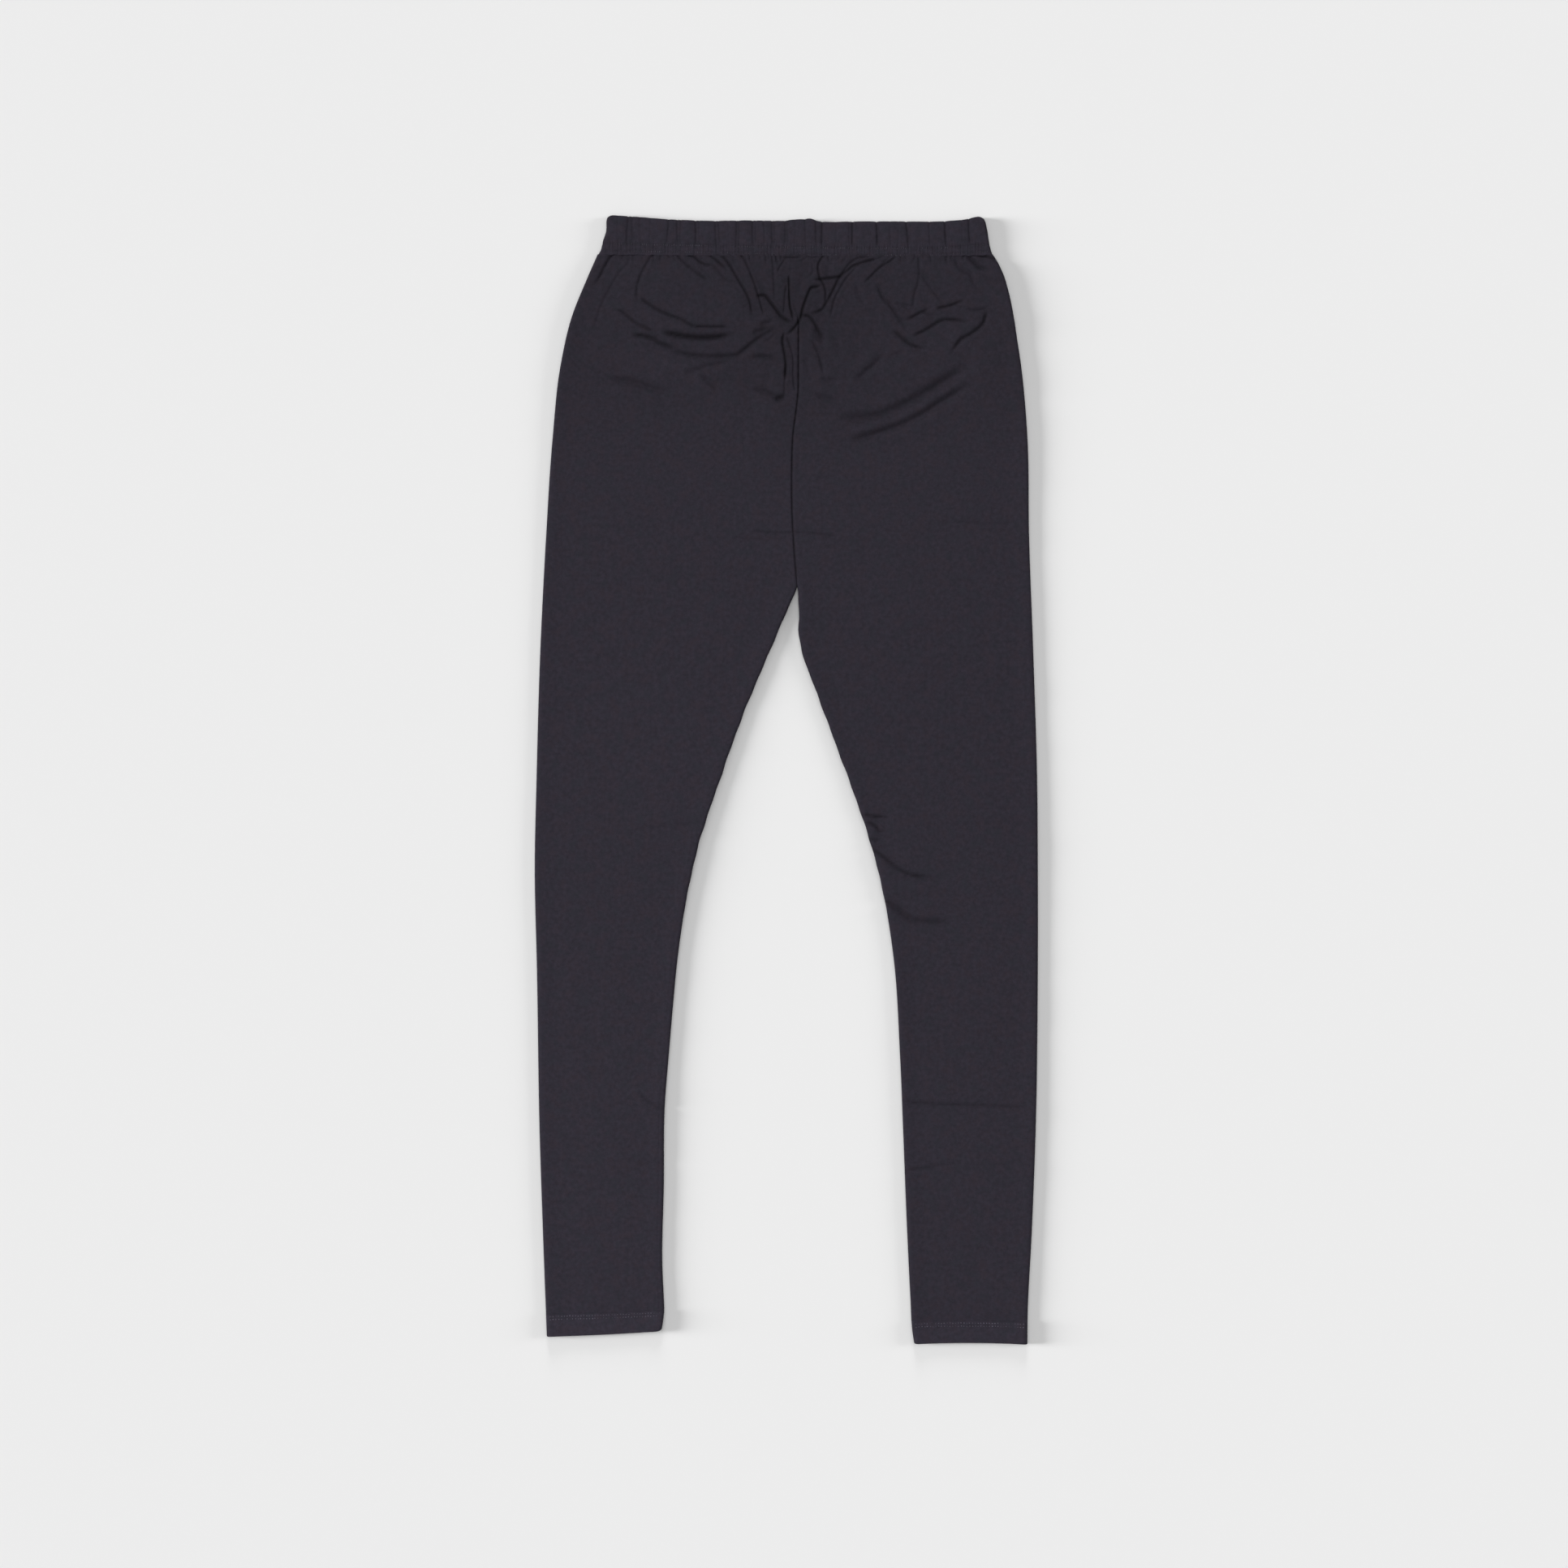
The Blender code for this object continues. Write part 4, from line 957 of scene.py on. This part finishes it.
def makeStitches(name, rows, style, material):
    # rows holds arrays of stitch centres, each with its direction along the row and its side (1 up, -1 down).
    # Each stitch has its own size, slant and depth in the cloth, and some vanish in it.
    template = stitchTemplate(style)
    count, sides = len(template), stitching["sides"]
    ring, last = np.arange(sides), count - sides
    following = (ring + 1) % sides
    quads = np.vstack([np.stack([k + ring, k + following, k + sides + following, k + sides + ring], axis=1)
                       for k in range(0, last, sides)])
    caps = np.stack([ring[::-1], last + ring])
    points, quadFaces, capFaces, total = [], [], [], 0
    chance = np.random.default_rng(stitching["seed"])
    for centres, slopes, facing in rows:
        many = len(centres)
        drift = sum(np.sin(centres[:, 0] / wave + turn * many) for wave, turn in stitching["driftWaves"])
        sink = style["sunk"] + style["uneven"] * (chance.normal(0, 1, many) + stitching["drift"] * drift)
        astray = [chance.normal(0, far, many) for far in stitching["astray"]]
        centres = centres + np.stack([*astray, -facing * np.clip(sink, 0, stitching["deepest"])]).T
        lean = slopes + chance.normal(0, stitching["slant"], many)
        grow = chance.uniform(*stitching["sizes"], many)[:, None]
        level = np.hypot(1, lean)
        tx, ty = (1 / level)[:, None] * grow, (lean / level)[:, None] * grow
        px = template[:, 0] * tx - template[:, 1] * ty
        py = template[:, 0] * ty + template[:, 1] * tx
        pz = np.broadcast_to(template[:, 2] * facing, px.shape)
        points.append((centres[:, None, :] + np.stack([px, py, pz], axis=-1)).reshape(-1, 3))
        base = total + count * np.arange(many)[:, None, None]
        for block, faces in ((quads, quadFaces), (caps, capFaces)):
            block = (block[None] + base).reshape(-1, block.shape[1])
            faces.append(block[:, ::-1] if facing > 0 else block)
        total += count * many
    mesh = bpy.data.meshes.new(name)
    faces = np.vstack(quadFaces).tolist() + np.vstack(capFaces).tolist()
    mesh.from_pydata((np.vstack(points) * mm).tolist(), [], faces)
    mesh.materials.append(material)
    mesh.shade_smooth()
    return addObject(name, mesh)


def bandStitchRows():
    # Centres of the stitches along both rows of the band, on its front and its back
    rows = []
    _, left, right = band["ends"][0]
    count = int((right - left) / stitching["band"]["pitch"]) - 2
    across = (np.arange(count) + 0.5) / count
    for row in band["stitchRows"]:
        x = bandAcross(across, np.full(count, 0.1))
        up = (row + throughTable(band["rowLift"], x)) / bandEdges(x)[1]
        for side, above in ((1, stitching["bandAbove"]), (-1, stitching["below"])):
            angle = np.full(count, side * np.pi / 2)
            centres = bandPoint(across, angle, up, np.ones(count), np.full(count, side > 0))
            centres[:, 2] += above
            rows.append((centres, np.gradient(centres[:, 1], centres[:, 0]), side))
    return rows


def hemStitchRows(leg):
    # Centres of the stitches along both rows of a hem, on its front and its back
    rows = []
    for below in cloth["hemRows"]:
        y = leg["hemOuter"] + cloth["hemDepth"] - below
        inner, outer = float(innerEdge(leg, np.array(y))), float(throughTable(leg["outer"], np.array(y)))
        margin = leg["side"] * stitching["endGap"]
        count = int(abs(outer - inner - 2 * margin) / stitching["hem"]["pitch"])
        x = np.linspace(inner + margin, outer - margin, count)
        share = (x - inner) / (outer - inner)
        rowY = followHem(leg, y, share)
        top = frontHeight(leg, x, np.full(count, y), share) + cloth["hemWall"] / 2 + stitching["above"]
        for z, side in ((top, 1), (np.full(count, stitching["below"]), -1)):
            rows.append((np.column_stack([x, rowY, z]), np.gradient(rowY, x), side))
    return rows


def hexColour(text):
    # sRGB hex to the linear values that the shader takes
    parts = [int(text[i:i + 2], 16) / 255 for i in (1, 3, 5)]
    return tuple(c / 12.92 if c <= 0.04045 else ((c + 0.055) / 1.055) ** 2.4 for c in parts) + (1.0,)


def addNode(tree, kind, settings=None, links=None):
    # One node with its settings and with links from other nodes, each from its first output unless the link
    # names one. A key that names a property of the node sets that, and any other key is an input.
    node = tree.nodes.new("ShaderNode" + kind)
    for key, value in (settings or {}).items():
        if isinstance(key, str) and hasattr(node, key):
            setattr(node, key, value)
        else:
            node.inputs[key].default_value = value
    for key, source in (links or {}).items():
        tree.links.new(getattr(source, "outputs", [source])[0], node.inputs[key])
    return node


def newTree(name):
    # A material and its empty node tree
    material = bpy.data.materials.new(name)
    material.use_nodes = True
    material.node_tree.nodes.clear()
    return material, material.node_tree


# Single jersey in charcoal cotton and elastane: matt, with fine upright wales, faint melange and a soft nap
jersey = {
    "dark": "#29262e", "light": "#322e38",      # the melange's two shades
    "warm": "#332b32", "cool": "#292b32",       # faint patches of them
    "paintedShadeColour": "#0b090c",      # painted shade colour, for the inside of a closed fold
    "nap": "#8d8794",
    "wale": 1.0,            # mm between wales, real ones are 0.7 and would not show
    "course": 0.75,         # mm between courses
    "slant": 1.6, "loop": 0.35, "fuzz": 0.8,    # how far the loops slant, and their and the fuzz's height
    # scale, detail and roughness of the fuzz, the melange and the patches
    "noises": [(900.0, 3.0, 0.6), (260.0, 4.0, 0.65), (110.0, 2.0, 0.5)],
    "roughness": 0.85, "sheen": 0.04, "sheenRoughness": 0.5, "specular": 0.12,
    "bump": 0.35, "bumpDepth": 0.12,
    "legTone": 1.145, "casingTone": 1.07,
}


def jerseyMaterial(name, tone=1.0):
    # Melange colour from two noises, and a bump of knitted loops: arched wales crossed by slanted courses
    material, tree = newTree(name)
    where = addNode(tree, "TexCoord").outputs["Object"]
    split = addNode(tree, "SeparateXYZ", {}, {"Vector": addNode(tree, "UVMap", {"uv_map": "clothUV"})})
    wale = addNode(tree, "Math", {"operation": "DIVIDE", 1: jersey["wale"] * mm}, {0: split.outputs["X"]})
    course = addNode(tree, "Math", {"operation": "DIVIDE", 1: jersey["course"] * mm}, {0: split.outputs["Y"]})
    wale = addNode(tree, "Math", {"operation": "FRACT"}, {0: wale})
    wale = addNode(tree, "Math", {"operation": "SUBTRACT", 1: 0.5}, {0: wale})
    away = addNode(tree, "Math", {"operation": "ABSOLUTE"}, {0: wale})
    slanted = addNode(tree, "Math", {"operation": "MULTIPLY_ADD", 1: jersey["slant"]}, {0: away, 2: course})
    turn = addNode(tree, "Math", {"operation": "MULTIPLY", 1: 2 * math.pi}, {0: slanted})
    loops = addNode(tree, "Math", {"operation": "SINE"}, {0: turn})
    square = addNode(tree, "Math", {"operation": "MULTIPLY"}, {0: away, 1: away})
    arch = addNode(tree, "Math", {"operation": "MULTIPLY_ADD", 1: -4.0, 2: 1.0}, {0: square})
    knit = addNode(tree, "Math", {"operation": "MULTIPLY_ADD", 1: jersey["loop"]}, {0: loops, 2: arch})
    fuzz, melange, blotch = (
        addNode(tree, "TexNoise", {"Scale": scale, "Detail": detail, "Roughness": rough}, {"Vector": where})
        for scale, detail, rough in jersey["noises"])
    relief = addNode(tree, "Math", {"operation": "MULTIPLY_ADD", 1: jersey["fuzz"]}, {0: fuzz, 2: knit})
    depth = {"Strength": jersey["bump"], "Distance": jersey["bumpDepth"] * mm}
    bump = addNode(tree, "Bump", depth, {"Height": relief})

    dark, light, warm, cool = (tuple(c * tone for c in hexColour(jersey[key])[:3]) + (1.0,)
                               for key in ("dark", "light", "warm", "cool"))
    spread = addNode(tree, "MapRange", {"From Min": 0.32, "From Max": 0.68}, {"Value": melange})
    tint = addNode(tree, "Mix", {"data_type": "RGBA", 6: dark, 7: light}, {"Factor": spread}).outputs[2]
    for patch, full in ((warm, 0.72), (cool, 0.28)):
        part = {"From Min": 0.5, "From Max": full, "To Max": 0.4}
        part = addNode(tree, "MapRange", part, {"Value": blotch})
        tint = addNode(tree, "Mix", {"data_type": "RGBA", 7: patch}, {"Factor": part, 6: tint}).outputs[2]
    # painted shade: the creaseShade attribute mixes the colour towards the painted shade colour where a
    # crease, the seam or a gather closes on itself
    closed = addNode(tree, "Attribute", {"attribute_name": "creaseShade"}).outputs["Fac"]
    paintedShadeColour = {"data_type": "RGBA", 7: hexColour(jersey["paintedShadeColour"])}
    tint = addNode(tree, "Mix", paintedShadeColour, {"Factor": closed, 6: tint}).outputs[2]
    shader = addNode(tree, "BsdfPrincipled", {
        "Roughness": jersey["roughness"], "Specular IOR Level": jersey["specular"],
        "Sheen Weight": jersey["sheen"], "Sheen Roughness": jersey["sheenRoughness"],
        "Sheen Tint": hexColour(jersey["nap"]),
    }, {"Base Color": tint, "Normal": bump})
    addNode(tree, "OutputMaterial", {}, {"Surface": shader})
    return material


def threadMaterial(name, dull, bright):
    # Spun polyester sewing thread: about the cloth's own shade, lighter in patches where it catches the light
    material, tree = newTree(name)
    where = {"Vector": addNode(tree, "TexCoord").outputs["Object"]}
    twist = {"bands_direction": "DIAGONAL", "Scale": 620.0, "Distortion": 0.4}
    twist = addNode(tree, "TexWave", twist, where).outputs["Fac"]
    bump = addNode(tree, "Bump", {"Strength": 0.3, "Distance": 0.05 * mm}, {"Height": twist})
    patches = addNode(tree, "TexNoise", {"Scale": 75.0, "Detail": 2.0, "Roughness": 0.6}, where)
    spread = addNode(tree, "MapRange", {"From Min": 0.38, "From Max": 0.68}, {"Value": patches})
    colours = {"data_type": "RGBA", 6: hexColour(dull), 7: hexColour(bright)}
    colour = addNode(tree, "Mix", colours, {"Factor": spread}).outputs[2]
    shader = addNode(tree, "BsdfPrincipled", {"Roughness": 0.6, "Specular IOR Level": 0.25},
                     {"Base Color": colour, "Normal": bump})
    addNode(tree, "OutputMaterial", {}, {"Surface": shader})
    return material


# Table, light and camera. The photograph has a low light across the table from the left, which draws the
# wide soft shadows, and a higher light over the cloth at the upper left, so each light names what it lights.
studio = {
    "floor": "#eeeeee", "floorSize": 14.0,
    "worldStrength": 0.26,
    # what it lights, strength, elevation, direction that it comes from, apparent size (degrees)
    "suns": {
        "lowLeft": ("floor", 6.15, 10.0, 178.0, 15.0),
        "lowRight": ("floor", 1.65, 12.0, 8.0, 17.0),
        "lowTop": ("floor", 1.45, 12.0, 92.0, 16.0),
        "overheadFloor": ("floor", 0.56, 90.0, 90.0, 80.0),
        "overheadCloth": ("cloth", 0.58, 84.0, 140.0, 80.0),
        "highKey": ("cloth", 1.45, 42.0, 130.0, 30.0),
    },
    "softbox": {"lights": "cloth", "power": 16.0, "size": 0.9, "at": (-1.3, -1.2, 1.55), "aim": (0, 0, 0)},
    "pixel": 0.7543, "imageSize": 1932, "centreX": -2.1, "centreY": -3.2,
    "lens": 70.0, "sensor": 36.0,
}


def makeFloor():
    # A pale plain surface under the garment
    half = studio["floorSize"] / 2
    mesh = bpy.data.meshes.new("paleSurface")
    corners = [(-half, -half, 0), (half, -half, 0), (half, half, 0), (-half, half, 0)]
    mesh.from_pydata(corners, [], [(0, 1, 2, 3)])
    floor = addObject("paleSurface", mesh)
    material = bpy.data.materials.new("mattPaperBackdrop")
    material.use_nodes = True
    shader = material.node_tree.nodes["Principled BSDF"]
    shader.inputs["Base Color"].default_value = hexColour(studio["floor"])
    shader.inputs["Roughness"].default_value = 0.95
    shader.inputs["Specular IOR Level"].default_value = 0.1
    mesh.materials.append(material)
    return floor


def addLamp(data, place, rotation, receivers):
    # A light object that falls only on the given group of objects
    lamp = addObject(data.name, data)
    lamp.location, lamp.rotation_euler = place, rotation
    lamp.light_linking.receiver_collection = receivers


def makeLights(lit):
    # Even white light from all round and from overhead, low soft suns for the floor, and a high soft sun
    # and a square softbox for the cloth
    world = bpy.data.worlds.new("studioWorld")
    world.use_nodes = True
    background = world.node_tree.nodes["Background"]
    background.inputs["Color"].default_value = (1, 1, 1, 1)
    background.inputs["Strength"].default_value = studio["worldStrength"]
    bpy.context.scene.world = world
    groups = {}
    for name, pieces in lit.items():
        groups[name] = bpy.data.collections.new("litAs" + name.capitalize())
        for piece in pieces:
            groups[name].objects.link(piece)
    for name, (group, strength, elevation, comesFrom, size) in studio["suns"].items():
        sun = bpy.data.lights.new(name, "SUN")
        sun.energy, sun.angle = strength, math.radians(size)
        addLamp(sun, (0, 0, 2), (0, math.radians(90 - elevation), math.radians(comesFrom)), groups[group])
    box = studio["softbox"]
    softbox = bpy.data.lights.new("softbox", "AREA")
    softbox.energy, softbox.size = box["power"], box["size"]
    towards = mathutils.Vector(box["aim"]) - mathutils.Vector(box["at"])
    addLamp(softbox, box["at"], towards.to_track_quat("-Z", "Y").to_euler(), groups[box["lights"]])


def makeCamera():
    # Straight down, at the height where the photograph's frame spans its real width
    data = bpy.data.cameras.new("camera")
    data.lens, data.sensor_width = studio["lens"], studio["sensor"]
    camera = addObject("camera", data)
    distance = studio["imageSize"] * studio["pixel"] * studio["lens"] / studio["sensor"]
    camera.location = (studio["centreX"] * mm, studio["centreY"] * mm, distance * mm)
    bpy.context.scene.camera = camera
    bpy.context.scene.view_settings.view_transform = "Standard"


makeCamera()
floor = makeFloor()
print("floor and camera ready")

legMaterial = jerseyMaterial("singleJerseyCharcoal", jersey["legTone"])
casingMaterial = jerseyMaterial("singleJerseyCasing", jersey["casingTone"])
hemThread = threadMaterial("spunPolyesterHemThread", "#34313a", "#605c6a")
bandThread = threadMaterial("spunPolyesterBandThread", "#27242c", "#3d3a44")

clothPieces = []
for leg in (rightLeg, leftLeg):
    piece = makeLeg(leg, legMaterial)
    stitches = makeStitches(leg["node"] + "_hem_stitches", hemStitchRows(leg), stitching["hem"], hemThread)
    for part in (piece, stitches):
        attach(part, "root")
    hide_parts(leg["node"])
    clothPieces += [piece, stitches]
    print(leg["piece"], "made with", sum(len(p.vertices) - 2 for p in piece.data.polygons), "triangles")

bandPiece = makeBand(casingMaterial)
bandStitches = makeStitches("waistband_stitches", bandStitchRows(), stitching["band"], bandThread)
for part in (bandPiece, bandStitches):
    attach(part, "root")
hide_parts(band["node"])
print(band["piece"], "made with", sum(len(p.vertices) - 2 for p in bandPiece.data.polygons), "triangles")
makeLights({"floor": [floor], "cloth": clothPieces + [bandPiece, bandStitches]})
print("lights ready")
